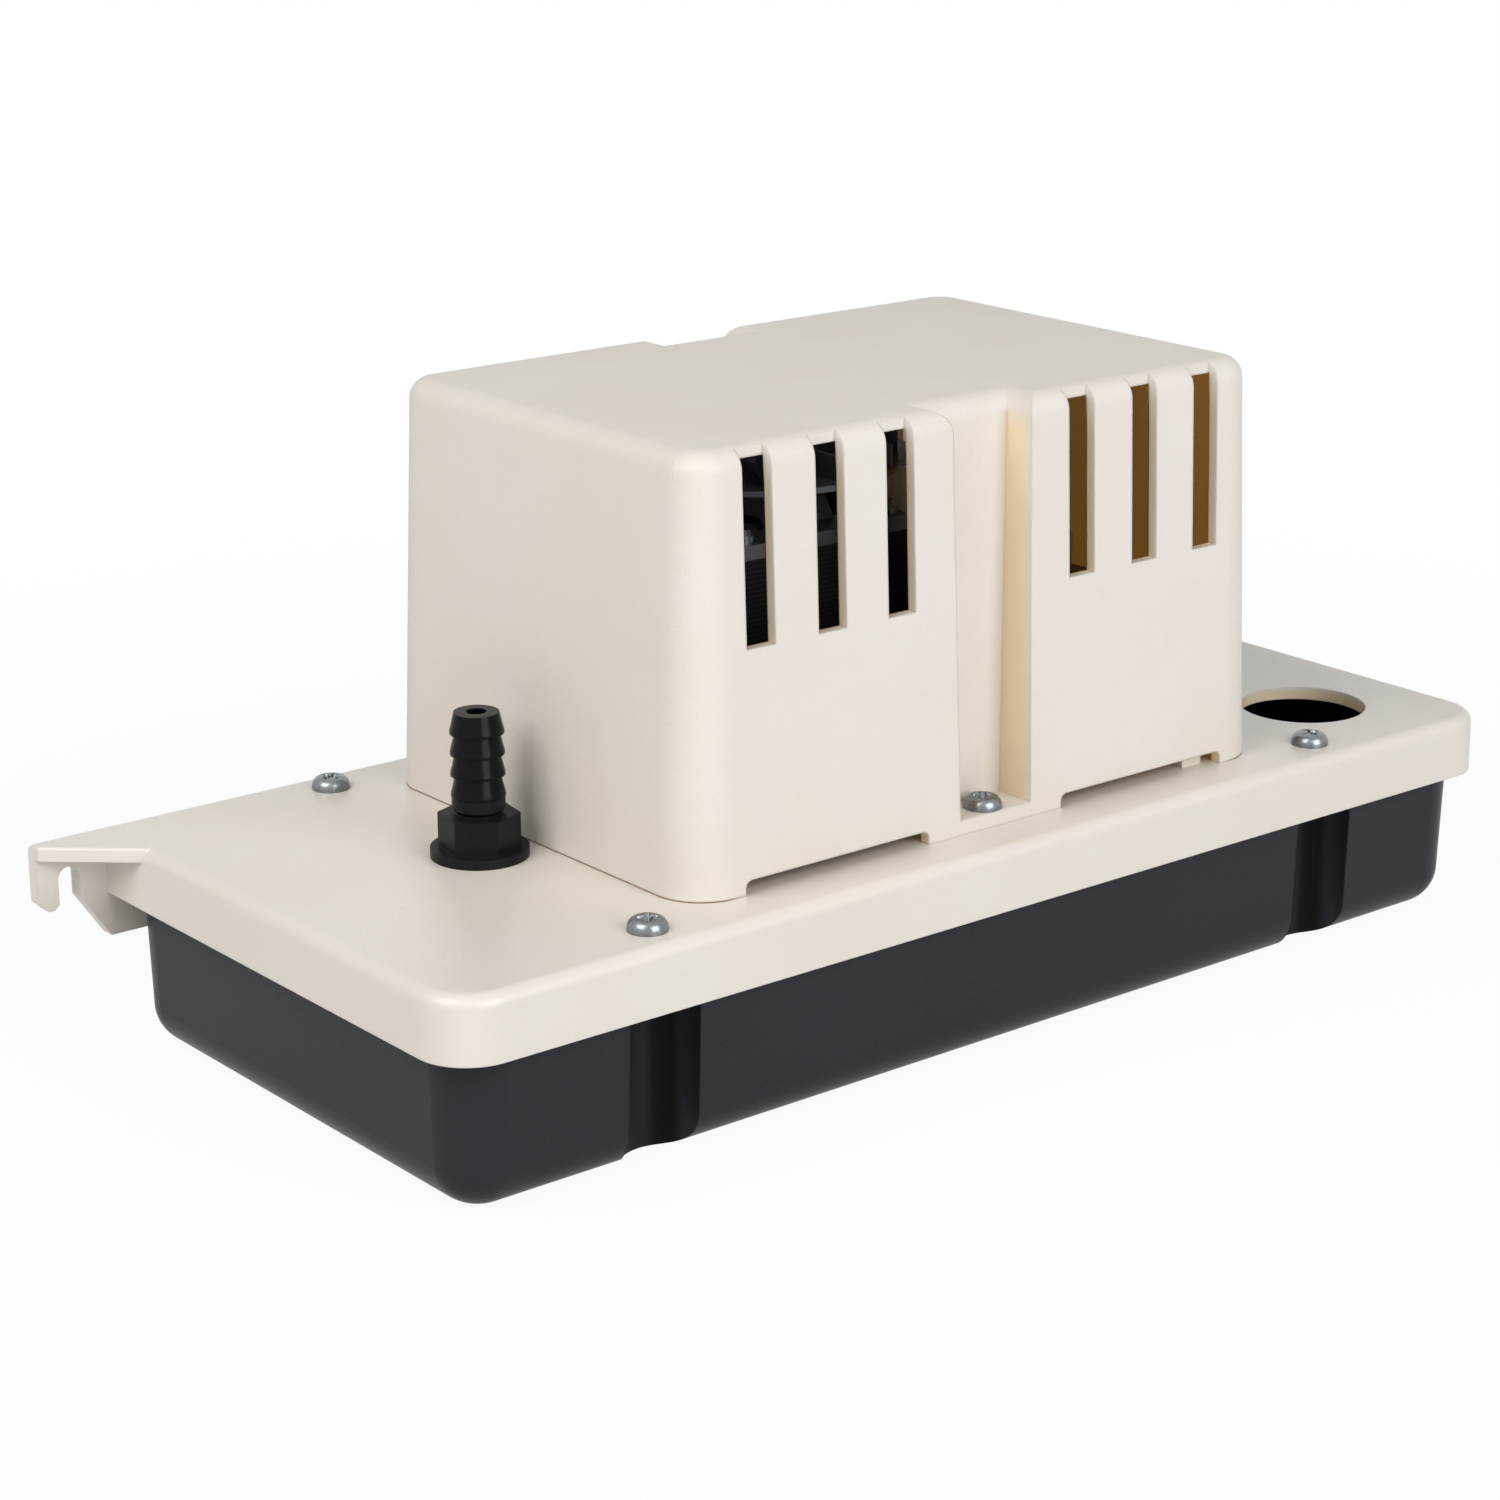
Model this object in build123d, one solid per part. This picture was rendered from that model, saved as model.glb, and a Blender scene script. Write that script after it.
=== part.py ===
from build123d import *
from math import asin, cos, radians, sin, tan
import os

# Condensate pump. A low tank is covered by a deck with a skirt and two wall-hanger ears. The deck
# carries a shaded-pole motor on posts under a vented housing, and hangs a centrifugal pump in the
# water. A float works two snap switches through a push rod, and the outlet is a hose barb over a
# check ball.
# Frame: X runs along the tank with +X at the inlet end, Y runs from the front (-Y) to the back,
# Z is up. The origin is under the middle of the tank floor. Sizes are in millimetres and degrees.

# Deck: the cover of the tank
DECK_LENGTH = 280.0
DECK_WIDTH = 126.8
DECK_CORNER = 11.0
DECK_PLATE = 3.0
DECK_EDGE = 2.6
SKIRT_DEPTH = 13.3
SKIRT_WALL = 2.8
SKIRT_DRAFT = 0.8

# Tank
TANK_HEIGHT = 42.5
TANK_WALL = 2.5
TANK_DRAFT = 1.66
TANK_CORNER = 10.6
TANK_FOOT_FILLET = 8.8
TANK_FLOOR_FILLET = 5.5
SKIRT_GAP = 0.75
GROOVE_FROM_END = 46.45
GROOVE_RADIUS = 8.3
BOSS_DEPTH = 9.2

# Housing: the motor cover
HOUSING_LENGTH = 155.4
HOUSING_WIDTH = 103.8
HOUSING_HEIGHT = 86.0
HOUSING_WALL = 2.5
HOUSING_DRAFT = 2.25
HOUSING_CORNER = 10.5
HOUSING_EDGE = 4.4
CHANNEL_WIDTH = 19.1
CHANNEL_DEPTH = 9.5
CHANNEL_FLOOR = 3.1
CHANNEL_DRAFT = 0.55
HOUSING_SCREW_INSET = 4.2
VENT_WIDTH = 7.0
VENT_SILL = 47.8
VENT_PITCH = 17.6
VENT_FIRST_X = 24.1
VENTS_PER_GROUP = 3
FOOT_GAP_HEIGHT = 2.9
FOOT_GAP_INNER_X = 18.0
FOOT_GAP_OUTER_X = 64.6
FOOT_GAP_ROUND = 1.6
CORD_NOTCH_WIDTH = 9.0

# Hanger ears and locating ribs of the deck
EAR_REACH = 15.6
EAR_TIP = 4.6
EAR_DEPTH = 20.4
EAR_PLATE = 3.0
EAR_WALL = 3.6
EAR_LEG = 4.6
EAR_LEG_DROP = 14.4
EAR_LEG_POINT = 2.2
EAR_SLOT = 4.8
EAR_SLOT_TOP = 8.2
EAR_DROP = 22.5
EAR_CHAMFER_LENGTH = 6.4
EAR_CHAMFER_HEIGHT = 9.6
EAR_INNER_LENGTH = 22.0
EAR_EDGE = 0.6
RIB_LENGTH = 5.6
RIB_HEIGHT = 5.0
RIB_X = 59.0

# Openings of the deck
INLET_RADIUS = 14.0
INLET_FROM_END = 29.7
INLET_FROM_FRONT = 29.8
DECK_SCREW_INSET = 9.2

# Screws: pan heads with a cross recess
SCREW_RADIUS = 2.1
SCREW_HEAD_RADIUS = 4.0
SCREW_HEAD_HEIGHT = 2.6
SMALL_SCREW_RADIUS = 1.5
SMALL_HEAD_RADIUS = 2.9
SMALL_HEAD_HEIGHT = 2.0
SCREW_CLEARANCE = 0.3

# Outlet fitting and check valve
FITTING_FROM_HOUSING = 12.3
FITTING_FLANGE_RADIUS = 9.8
FITTING_FLANGE = 1.9
HEX_FLATS = 14.2
HEX_HEIGHT = 6.9
HEX_TURN = 20.0
BARB_RADIUS = 5.4
BARB_ROOT_RADIUS = 4.5
BARB_PITCH = 4.25
BARB_COUNT = 4
BARB_LAND = 0.5
BARB_NECK = 3.6
NECK_RADIUS = 5.3
NECK_GROOVE = 0.4
NECK_ROUND = 0.7
FITTING_BORE = 2.0
SHANK_RADIUS = 7.0
SHANK_LENGTH = 7.5
BALL_RADIUS = 3.25
BALL_LIFT = 2.5
BALL_GAP = 0.05
SEAT_THICKNESS = 2.0
CHAMBER_RADIUS = 4.8
SEAT_BORE = 2.5
VALVE_BODY_RADIUS = 9.4
SPIGOT_RADIUS = 4.7
SPIGOT_BORE = 3.2
SPIGOT_LENGTH = 5.5
GASKET = 1.0

# Pump below the deck
MOTOR_X = -22.0
COLUMN_RADIUS = 10.0
COLUMN_WALL = 2.5
COLUMN_FLANGE_RADIUS = 18.0
COLUMN_FLANGE = 3.0
COLUMN_SCREW_CIRCLE = 14.0
CASING_RADIUS = 26.0
CASING_WALL = 2.5
CASING_HEIGHT = 12.0
VOLUTE_SHIFT = 1.2
COVER_PLATE = 2.5
COVER_FOOT = 3.2
COVER_FOOT_LENGTH = 8.0
COVER_FOOT_WIDTH = 3.0
COVER_FOOT_RADIUS = 18.0
COVER_SCREW_CIRCLE = 26.0
COVER_EAR = 4.0
COLUMN_WINDOW = 8.0
SUCTION_RADIUS = 6.5
IMPELLER_RADIUS = 18.5
IMPELLER_HEIGHT = 7.0
IMPELLER_DISC = 1.6
IMPELLER_VANES = 6
IMPELLER_CLEARANCE = 1.0
NOZZLE_OFFSET = 15.0
NOZZLE_RADIUS = 6.0
NOZZLE_END = 40.0
TUBE_WALL = 1.8
TUBE_SLACK = 0.02

# Motor
SHAFT_RADIUS = 3.0
SHAFT_FIT = 0.03
SHAFT_STUB = 1.0
MOTOR_BASE = 31.5
STACK_HEIGHT = 22.0
POLE_WALL = 6.5
POLE_BRIDGE = 5.5
STACK_WIDTH = 50.0
LIMB = 12.0
WINDOW_LENGTH = 10.0
WINDOW_WIDTH = 30.0
AIR_GAP = 0.5
ROTOR_RADIUS = 16.0
END_RING_RADIUS = 13.5
END_RING = 3.0
SHADING_WIRE = 1.8
SHADING_SPAN = 8.0
SHADING_ANGLE = 38.0
WASHER = 0.9
WASHER_GAP = 0.3
BRACKET_PLATE = 3.0
BRACKET_WIDTH = 16.0
BRACKET_ARCH = 4.5
BEARING_RADIUS = 5.0
BEARING_LENGTH = 7.0
BEARING_HOLDER = 2.2
MOTOR_SCREW_X = 18.0
MOTOR_SCREW_Y = 20.0
POST_RADIUS = 4.6
POST_DRAFT = 0.8
SCREW_BITE = 9.0
BOBBIN_WALL = 1.2
BOBBIN_FLANGE = 1.6
COIL_DEPTH = 8.0
FAN_RADIUS = 31.0
FAN_DISC = 1.2
FAN_HEIGHT = 6.0
FAN_VANES = 12
FAN_VANE_START = 14.0
FAN_CLEARANCE = 1.0
SLINGER_RADIUS = 8.5
SLINGER_THICKNESS = 1.6
COLLAR_HEIGHT = 5.0
COLLAR_WALL = 2.0

# Float and switch gear
PIVOT_X = 30.0
PIVOT_BELOW_DECK = 9.5
PIN_RADIUS = 1.5
PIN_FIT = 0.06
LUG_GAP = 15.0
LUG_THICKNESS = 3.0
LUG_RADIUS = 4.5
ARM_SLOPE = 12.0
ARM_THICKNESS = 4.0
ARM_WIDTH = 8.0
FLOAT_LENGTH = 48.0
FLOAT_WIDTH = 34.0
FLOAT_HEIGHT = 16.0
FLOAT_START_X = 58.0
FLOAT_ROUND = 3.0
PEG_RADIUS = 2.5
REST_GAP = 0.3
ROD_RADIUS = 2.0
ROD_ARM = 14.0
ROD_BAR = 17.0
ROD_GUIDE_WALL = 2.1
ROD_GUIDE_HEIGHT = 6.0
ROD_TO_HINGE = 18.0
SWITCH_WIDTH = 10.3
SWITCH_HEIGHT = 15.9
SWITCH_ABOVE_DECK = 18.5
SWITCH_HOLE_SPACING = 22.2
SWITCH_HOLE_INSET = 2.8
SWITCH_PLATE = 2.0
SWITCH_PAST_HINGE = 3.8
SWITCH_HOLE_DROP = 3.0
BRACKET_SCREW_Y = 8.0
BRACKET_FOOT_EDGE = 4.0
LEVER_LENGTH = 21.5
LEVER_THICKNESS = 0.8
LEVER_SLOPE = 12.6
LEVER_HINGE_DROP = 1.2
PLUNGER_ARM = 10.0
PLUNGER_RADIUS = 1.3
KNUCKLE_RADIUS = 1.2
LEVER_PIN = 0.6
LEVER_WIDTH = 6.0
PLUNGER_BORE = 5.0
PLUNGER_TRAVEL = 2.1
BLADE_WIDTH = 6.3
BLADE_HEIGHT = 7.5
BLADE_THICKNESS = 0.8

# Places worked out from the sizes above
DECK_TOP = TANK_HEIGHT + DECK_PLATE
SKIRT_BOTTOM = DECK_TOP - SKIRT_DEPTH
TANK_LENGTH = DECK_LENGTH - 2 * (SKIRT_WALL + SKIRT_GAP)
TANK_WIDTH = DECK_WIDTH - 2 * (SKIRT_WALL + SKIRT_GAP)
GROOVE_X = TANK_LENGTH / 2 - GROOVE_FROM_END
GROOVE_Y = TANK_WIDTH / 2 - TANK_HEIGHT * tan(radians(TANK_DRAFT))
DECK_SCREW_Y = DECK_WIDTH / 2 - DECK_SCREW_INSET
INLET_X = DECK_LENGTH / 2 - INLET_FROM_END
INLET_Y = INLET_FROM_FRONT - DECK_WIDTH / 2
FITTING_X = -HOUSING_LENGTH / 2 - FITTING_FROM_HOUSING
GROOVE_TOP = TANK_HEIGHT - BOSS_DEPTH
CHANNEL_BACK = HOUSING_WIDTH / 2 - CHANNEL_DEPTH
HOUSING_SCREW_Y = HOUSING_WIDTH / 2 - HOUSING_SCREW_INSET
FLOOR = TANK_WALL
COVER_BASE = FLOOR + REST_GAP + COVER_FOOT
CASING_BASE = COVER_BASE + COVER_PLATE
CASING_TOP = CASING_BASE + CASING_HEIGHT
NOZZLE_Z = CASING_BASE + NOZZLE_RADIUS
IMPELLER_BASE = CASING_BASE + IMPELLER_CLEARANCE
STACK_BASE = DECK_TOP + MOTOR_BASE + BRACKET_PLATE
STACK_TOP = STACK_BASE + STACK_HEIGHT
UPPER_HUB_BASE = STACK_TOP + BRACKET_ARCH
UPPER_HUB_TOP = UPPER_HUB_BASE + BEARING_LENGTH
LOWER_HUB_TOP = STACK_BASE - BRACKET_ARCH
FAN_BASE = UPPER_HUB_TOP + FAN_CLEARANCE
SHAFT_TOP = FAN_BASE + FAN_HEIGHT + SHAFT_STUB
STACK_LEFT = ROTOR_RADIUS + AIR_GAP + POLE_WALL
STACK_LENGTH = STACK_LEFT + ROTOR_RADIUS + AIR_GAP + POLE_BRIDGE + WINDOW_LENGTH + LIMB
LIMB_X = MOTOR_X - STACK_LEFT + STACK_LENGTH - LIMB / 2
PIVOT_Z = TANK_HEIGHT - PIVOT_BELOW_DECK
ROD_X = PIVOT_X + ROD_ARM
ARM_TOP_AT_ROD = PIVOT_Z - ROD_ARM * tan(radians(ARM_SLOPE)) + ARM_THICKNESS / 2 / cos(radians(ARM_SLOPE))
ROD_GUIDE_RADIUS = ROD_RADIUS + SCREW_CLEARANCE + ROD_GUIDE_WALL
SWITCH_BASE = DECK_TOP + SWITCH_ABOVE_DECK
HINGE_Z = SWITCH_BASE - LEVER_HINGE_DROP
SWITCH_LENGTH = SWITCH_HOLE_SPACING + 2 * SWITCH_HOLE_INSET
HINGE_X = ROD_X + ROD_TO_HINGE
SWITCH_X = HINGE_X + SWITCH_PAST_HINGE - SWITCH_LENGTH / 2
SWITCH_Y = (SWITCH_PLATE + SWITCH_WIDTH) / 2
SWITCH_SCREW_Z = SWITCH_BASE + SWITCH_HEIGHT - SWITCH_HOLE_DROP
BRACKET_LEFT = ROD_X + ROD_GUIDE_RADIUS + REST_GAP
BRACKET_RIGHT = SWITCH_X + SWITCH_LENGTH / 2
FLOAT_TOP = FLOOR + REST_GAP + FLOAT_HEIGHT

STOP_Z = DECK_TOP - SHANK_LENGTH
BALL_Z = STOP_Z - BALL_LIFT - BALL_RADIUS - BALL_GAP
SEAT_Z = BALL_Z - (BALL_RADIUS ** 2 - SEAT_BORE ** 2) ** 0.5 - BALL_GAP
VALVE_FLOOR = SEAT_Z - SEAT_THICKNESS
TUBE_BEND = VALVE_FLOOR - SPIGOT_LENGTH - NOZZLE_Z

UP = (Align.CENTER, Align.CENTER, Align.MIN)
DOWN = (Align.CENTER, Align.CENTER, Align.MAX)


def rod(radius, height, x=0.0, y=0.0, z=0.0):
    """Upright cylinder standing on height z."""
    return Pos(x, y, z) * Cylinder(radius, height, align=UP)


def block(length, width, height, x=0.0, y=0.0, z=0.0):
    """Upright box standing on height z."""
    return Pos(x, y, z) * Box(length, width, height, align=UP)


def turned(*outline):
    """Solid of revolution about Z from a closed outline of (radius, height) points."""
    return revolve(make_face(Plane.XZ * Polyline(*outline, close=True)), Axis.Z)


def side_profile(outline, width, y=0.0):
    """Prism from a closed outline of (x, z) points, width thick and centred on y."""
    face = make_face(Plane.XZ * Polyline(*outline, close=True))
    return Pos(0, y, 0) * extrude(face, amount=width / 2, both=True)


def tapered_box(length, width, corner, height, draft, z=0.0):
    """Rounded box standing on z, whose walls lean inwards by the draft angle."""
    return Pos(0, 0, z) * extrude(RectangleRounded(length, width, corner), amount=height, taper=draft)


def tapered_plate(length, width, corner, height, draft, z):
    """Box like tapered_box, but with only its front corners rounded."""
    plan = Rectangle(length, width)
    plan = fillet(plan.vertices().group_by(Axis.Y)[0], corner)
    return Pos(0, 0, z) * extrude(plan, amount=height, taper=draft)


def four_corners(x, y):
    """The four mirrored places of a point."""
    return [(sx * x, sy * y) for sx in (-1, 1) for sy in (-1, 1)]


def plain_screw(radius, head_radius, head_height, length):
    """Cylinder-head screw with its head's seat at z = 0 and a bevelled head."""
    return turned(
        (0, -length), (radius, -length), (radius, 0), (head_radius, 0), (head_radius, head_height * 0.5),
        (head_radius * 0.75, head_height), (0, head_height),
    )


def pan_screw(radius, head_radius, head_height, length):
    """Pan-head screw with its head's seat at z = 0, a domed top and a cross recess."""
    body = turned(
        (0, -length), (radius, -length), (radius, 0), (head_radius, 0), (head_radius, head_height * 0.4),
        (head_radius * 0.82, head_height * 0.82), (head_radius * 0.45, head_height), (0, head_height),
    )
    recess = head_height * 0.55
    bar = Box(head_radius * 1.1, head_radius * 0.26, recess, align=DOWN)
    return body - Pos(0, 0, head_height) * (bar + Rot(0, 0, 90) * bar)


# Case


def tank():
    """Drafted tub with round outer grooves under the deck screws, each closed by a screw boss."""
    rim = Plane((0, 0, TANK_HEIGHT), x_dir=(1, 0, 0), z_dir=(0, 0, -1))
    brim = rim * RectangleRounded(TANK_LENGTH, TANK_WIDTH, TANK_CORNER)
    outer = extrude(brim, amount=TANK_HEIGHT, taper=TANK_DRAFT)
    outer = fillet(outer.edges().group_by(Axis.Z)[0], TANK_FOOT_FILLET)
    inner_corner = TANK_CORNER - TANK_WALL
    mouth = rim * RectangleRounded(TANK_LENGTH - 2 * TANK_WALL, TANK_WIDTH - 2 * TANK_WALL, inner_corner)
    inner = extrude(mouth, amount=TANK_HEIGHT - FLOOR, taper=TANK_DRAFT)
    inner = fillet(inner.edges().group_by(Axis.Z)[0], TANK_FLOOR_FILLET)
    for x, y in four_corners(GROOVE_X, GROOVE_Y):
        inner -= rod(GROOVE_RADIUS + TANK_WALL, TANK_HEIGHT, x, y)
        outer -= rod(GROOVE_RADIUS, GROOVE_TOP, x, y)
    shell = outer - inner
    for x, y in four_corners(GROOVE_X, DECK_SCREW_Y):
        shell -= rod(SCREW_RADIUS, BOSS_DEPTH - 1.0, x, y, GROOVE_TOP + 1.0)
    return shell


def hanger_ear():
    """Left ear: a flange flush with the deck and a slotted plate that hooks over a wall screw."""
    left = -DECK_LENGTH / 2
    back = DECK_WIDTH / 2
    inside = left + SKIRT_WALL
    tip = left - EAR_REACH
    flange = make_face(Polyline(
        (inside, back), (tip, back), (tip, back - EAR_TIP), (inside, back - EAR_DEPTH), close=True))
    flange = Pos(0, 0, DECK_TOP - EAR_PLATE) * extrude(flange, amount=EAR_PLATE, dir=(0, 0, 1))
    slot_left = tip + EAR_LEG
    slot_right = slot_left + EAR_SLOT
    leg_end = DECK_TOP - EAR_LEG_DROP
    bottom = DECK_TOP - EAR_DROP
    end = left + EAR_INNER_LENGTH
    middle = back - EAR_WALL / 2
    plate = side_profile([
        (tip, DECK_TOP), (tip, leg_end + EAR_LEG_POINT), (tip + EAR_LEG_POINT, leg_end),
        (slot_left - EAR_LEG_POINT / 2, leg_end), (slot_left, leg_end + EAR_LEG_POINT / 2),
        (slot_left, DECK_TOP - EAR_SLOT_TOP), (slot_right, DECK_TOP - EAR_SLOT_TOP),
        (slot_right, bottom + EAR_CHAMFER_HEIGHT), (slot_right + EAR_CHAMFER_LENGTH, bottom), (end, bottom),
        (end, DECK_TOP - DECK_PLATE), (inside, DECK_TOP - DECK_PLATE), (inside, DECK_TOP),
    ], EAR_WALL, middle)
    arch = Pos((slot_left + slot_right) / 2, middle, DECK_TOP - EAR_SLOT_TOP)
    plate -= arch * Rot(90, 0, 0) * Cylinder(EAR_SLOT / 2, EAR_WALL + 1.0)
    ear = flange + plate
    rim = ear.edges().group_by(Axis.Z)[-1].sort_by(Axis.Y)
    ear = fillet(rim[-1], DECK_EDGE)
    rim = ear.edges().group_by(Axis.Z)[-1].filter_by(lambda edge: edge.center().X < inside - EAR_EDGE)
    return fillet(rim.sort_by(Axis.Y)[:-1], EAR_EDGE)


def deck():
    """Cover plate with its skirt, ears, motor posts, shaft collar, rod guide and float lugs."""
    outer = tapered_plate(DECK_LENGTH, DECK_WIDTH, DECK_CORNER, SKIRT_DEPTH, SKIRT_DRAFT, SKIRT_BOTTOM)
    outer = fillet(outer.edges().group_by(Axis.Z)[-1], DECK_EDGE)
    cavity = tapered_plate(
        DECK_LENGTH - 2 * SKIRT_WALL, DECK_WIDTH - 2 * SKIRT_WALL, DECK_CORNER - SKIRT_WALL,
        SKIRT_DEPTH - DECK_PLATE, SKIRT_DRAFT, SKIRT_BOTTOM)
    body = outer - cavity
    ear = hanger_ear()
    body += ear + mirror(ear, about=Plane.YZ)

    for x, y in four_corners(MOTOR_SCREW_X, MOTOR_SCREW_Y):
        post = extrude(Circle(POST_RADIUS), amount=MOTOR_BASE, taper=POST_DRAFT)
        body += Pos(MOTOR_X + x, y, DECK_TOP) * post
        body -= rod(SCREW_RADIUS, SCREW_BITE, MOTOR_X + x, y, DECK_TOP + MOTOR_BASE - SCREW_BITE)
    shaft_hole = COLUMN_RADIUS - COLUMN_WALL
    body += rod(shaft_hole + COLLAR_WALL, COLLAR_HEIGHT, MOTOR_X, 0, DECK_TOP)
    body -= rod(shaft_hole, DECK_PLATE + COLLAR_HEIGHT, MOTOR_X, 0, TANK_HEIGHT)
    for x, y in column_screw_places():
        body -= rod(SCREW_RADIUS + SCREW_CLEARANCE, DECK_PLATE, x, y, TANK_HEIGHT)

    body += rod(ROD_GUIDE_RADIUS, ROD_GUIDE_HEIGHT, ROD_X, 0, DECK_TOP)
    body -= rod(ROD_RADIUS + SCREW_CLEARANCE, DECK_PLATE + ROD_GUIDE_HEIGHT, ROD_X, 0, TANK_HEIGHT)
    for side in (-1, 1):
        lug_y = side * (LUG_GAP + LUG_THICKNESS) / 2
        lug = block(2 * LUG_RADIUS, LUG_THICKNESS, PIVOT_BELOW_DECK, PIVOT_X, lug_y, PIVOT_Z)
        nose = Pos(PIVOT_X, lug_y, PIVOT_Z) * Rot(90, 0, 0) * Cylinder(LUG_RADIUS, LUG_THICKNESS)
        body += lug + nose
    body -= Pos(PIVOT_X, 0, PIVOT_Z) * Rot(90, 0, 0) * Cylinder(PIN_RADIUS, LUG_GAP + 3 * LUG_THICKNESS)

    wall_at_foot = HOUSING_WIDTH / 2 - HOUSING_WALL - SCREW_CLEARANCE
    rib_y = wall_at_foot - RIB_HEIGHT * tan(radians(HOUSING_DRAFT)) - TANK_WALL / 2
    for side in (-1, 1):
        body += block(RIB_LENGTH, TANK_WALL, RIB_HEIGHT, side * RIB_X, -side * rib_y, DECK_TOP)

    body -= rod(INLET_RADIUS, DECK_PLATE, INLET_X, INLET_Y, TANK_HEIGHT)
    body -= rod(SHANK_RADIUS + SCREW_CLEARANCE, DECK_PLATE, FITTING_X, 0, TANK_HEIGHT)
    for x, y in four_corners(GROOVE_X, DECK_SCREW_Y):
        body -= rod(SCREW_RADIUS + SCREW_CLEARANCE, DECK_PLATE, x, y, TANK_HEIGHT)
    for side in (-1, 1):
        body -= rod(SCREW_RADIUS, DECK_PLATE, 0, side * HOUSING_SCREW_Y, TANK_HEIGHT)
        body -= rod(SMALL_SCREW_RADIUS, DECK_PLATE, *bracket_screw_place(side), TANK_HEIGHT)
    return body


def screw_channel(side, wall, floor):
    """Drafted space of a screw channel, thickened by a wall and standing on a floor over the deck."""
    reach = CHANNEL_DEPTH + wall + 1.0
    space = extrude(Rectangle(CHANNEL_WIDTH + 2 * wall, reach), amount=HOUSING_HEIGHT, taper=-CHANNEL_DRAFT)
    return Pos(0, side * (CHANNEL_BACK - wall + reach / 2), DECK_TOP + floor) * space


def motor_housing():
    """Drafted hood with vent slots, a screw channel front and back, foot gaps and a cord notch."""
    outer = tapered_box(
        HOUSING_LENGTH, HOUSING_WIDTH, HOUSING_CORNER, HOUSING_HEIGHT, HOUSING_DRAFT, DECK_TOP)
    inner = tapered_box(
        HOUSING_LENGTH - 2 * HOUSING_WALL, HOUSING_WIDTH - 2 * HOUSING_WALL, HOUSING_CORNER - HOUSING_WALL,
        HOUSING_HEIGHT - HOUSING_WALL, HOUSING_DRAFT, DECK_TOP)
    inner_at_top = HOUSING_WIDTH / 2 - HOUSING_WALL - HOUSING_HEIGHT * tan(radians(HOUSING_DRAFT))
    half_width = HOUSING_WIDTH / 2
    for side in (-1, 1):
        outer -= screw_channel(side, 0, CHANNEL_FLOOR)
        inner -= screw_channel(side, HOUSING_WALL, 0)
    outer = fillet(outer.edges().group_by(Axis.Z)[-1], HOUSING_EDGE)
    shell = outer - inner
    for side in (-1, 1):
        shell -= rod(SCREW_RADIUS + SCREW_CLEARANCE, CHANNEL_FLOOR, 0, side * HOUSING_SCREW_Y, DECK_TOP)
        cut_depth = half_width - inner_at_top + 1.0
        for end in (-1, 1):
            for k in range(VENTS_PER_GROUP):
                shell -= block(VENT_WIDTH, cut_depth, HOUSING_HEIGHT, end * (VENT_FIRST_X + k * VENT_PITCH),
                               side * (inner_at_top + cut_depth / 2), DECK_TOP + VENT_SILL)
            gap_length = FOOT_GAP_OUTER_X - FOOT_GAP_INNER_X
            gap = Plane.XZ * RectangleRounded(gap_length, 2 * FOOT_GAP_HEIGHT, FOOT_GAP_ROUND)
            gap = extrude(gap, amount=HOUSING_WALL + 2.0, both=True)
            shell -= Pos(end * (FOOT_GAP_INNER_X + gap_length / 2), side * half_width, DECK_TOP) * gap
    notch = Plane.YZ * SlotCenterToCenter(CORD_NOTCH_WIDTH, CORD_NOTCH_WIDTH, 90)
    shell -= Pos(HOUSING_LENGTH / 2, 0, DECK_TOP) * extrude(notch, amount=HOUSING_WALL + 2.0, both=True)
    return shell


def deck_screws():
    """Four screws that hold the deck to the tank's bosses."""
    screw = pan_screw(SCREW_RADIUS, SCREW_HEAD_RADIUS, SCREW_HEAD_HEIGHT, DECK_PLATE + BOSS_DEPTH - 2.0)
    return [Pos(x, y, DECK_TOP) * screw for x, y in four_corners(GROOVE_X, DECK_SCREW_Y)]


def housing_screws():
    """Two screws in the channels that hold the housing to the deck."""
    screw = pan_screw(SCREW_RADIUS, SCREW_HEAD_RADIUS, SCREW_HEAD_HEIGHT, CHANNEL_FLOOR + DECK_PLATE)
    return [Pos(0, side * HOUSING_SCREW_Y, DECK_TOP + CHANNEL_FLOOR) * screw for side in (-1, 1)]


# Outlet and check valve


def outlet_fitting():
    """Hose barb over a hexagon and a round flange, with a shank that passes the deck."""
    hex_base = FITTING_FLANGE
    neck = hex_base + HEX_HEIGHT
    outline = [(FITTING_BORE, -SHANK_LENGTH), (SHANK_RADIUS, -SHANK_LENGTH), (SHANK_RADIUS, 0),
               (FITTING_FLANGE_RADIUS, 0), (FITTING_FLANGE_RADIUS, FITTING_FLANGE),
               (HEX_FLATS / 2 - 1.0, FITTING_FLANGE), (HEX_FLATS / 2 - 1.0, neck),
               (BARB_ROOT_RADIUS, neck), (BARB_ROOT_RADIUS, neck + NECK_GROOVE),
               (NECK_RADIUS - NECK_ROUND, neck + NECK_GROOVE),
               (NECK_RADIUS, neck + NECK_GROOVE + NECK_ROUND)]
    top = neck + BARB_NECK
    outline.append((NECK_RADIUS, top))
    for k in range(BARB_COUNT):
        outline += [(BARB_RADIUS, top), (BARB_RADIUS, top + BARB_LAND), (BARB_ROOT_RADIUS, top + BARB_PITCH)]
        top += BARB_PITCH
    outline.append((FITTING_BORE, top))
    turned_body = turned(*outline)
    flats = RegularPolygon(HEX_FLATS / 2, 6, major_radius=False, rotation=HEX_TURN)
    hexagon = extrude(flats, amount=HEX_HEIGHT)
    hexagon -= rod(FITTING_BORE, HEX_HEIGHT)
    return Pos(FITTING_X, 0, DECK_TOP) * (turned_body + Pos(0, 0, hex_base) * hexagon)


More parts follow.
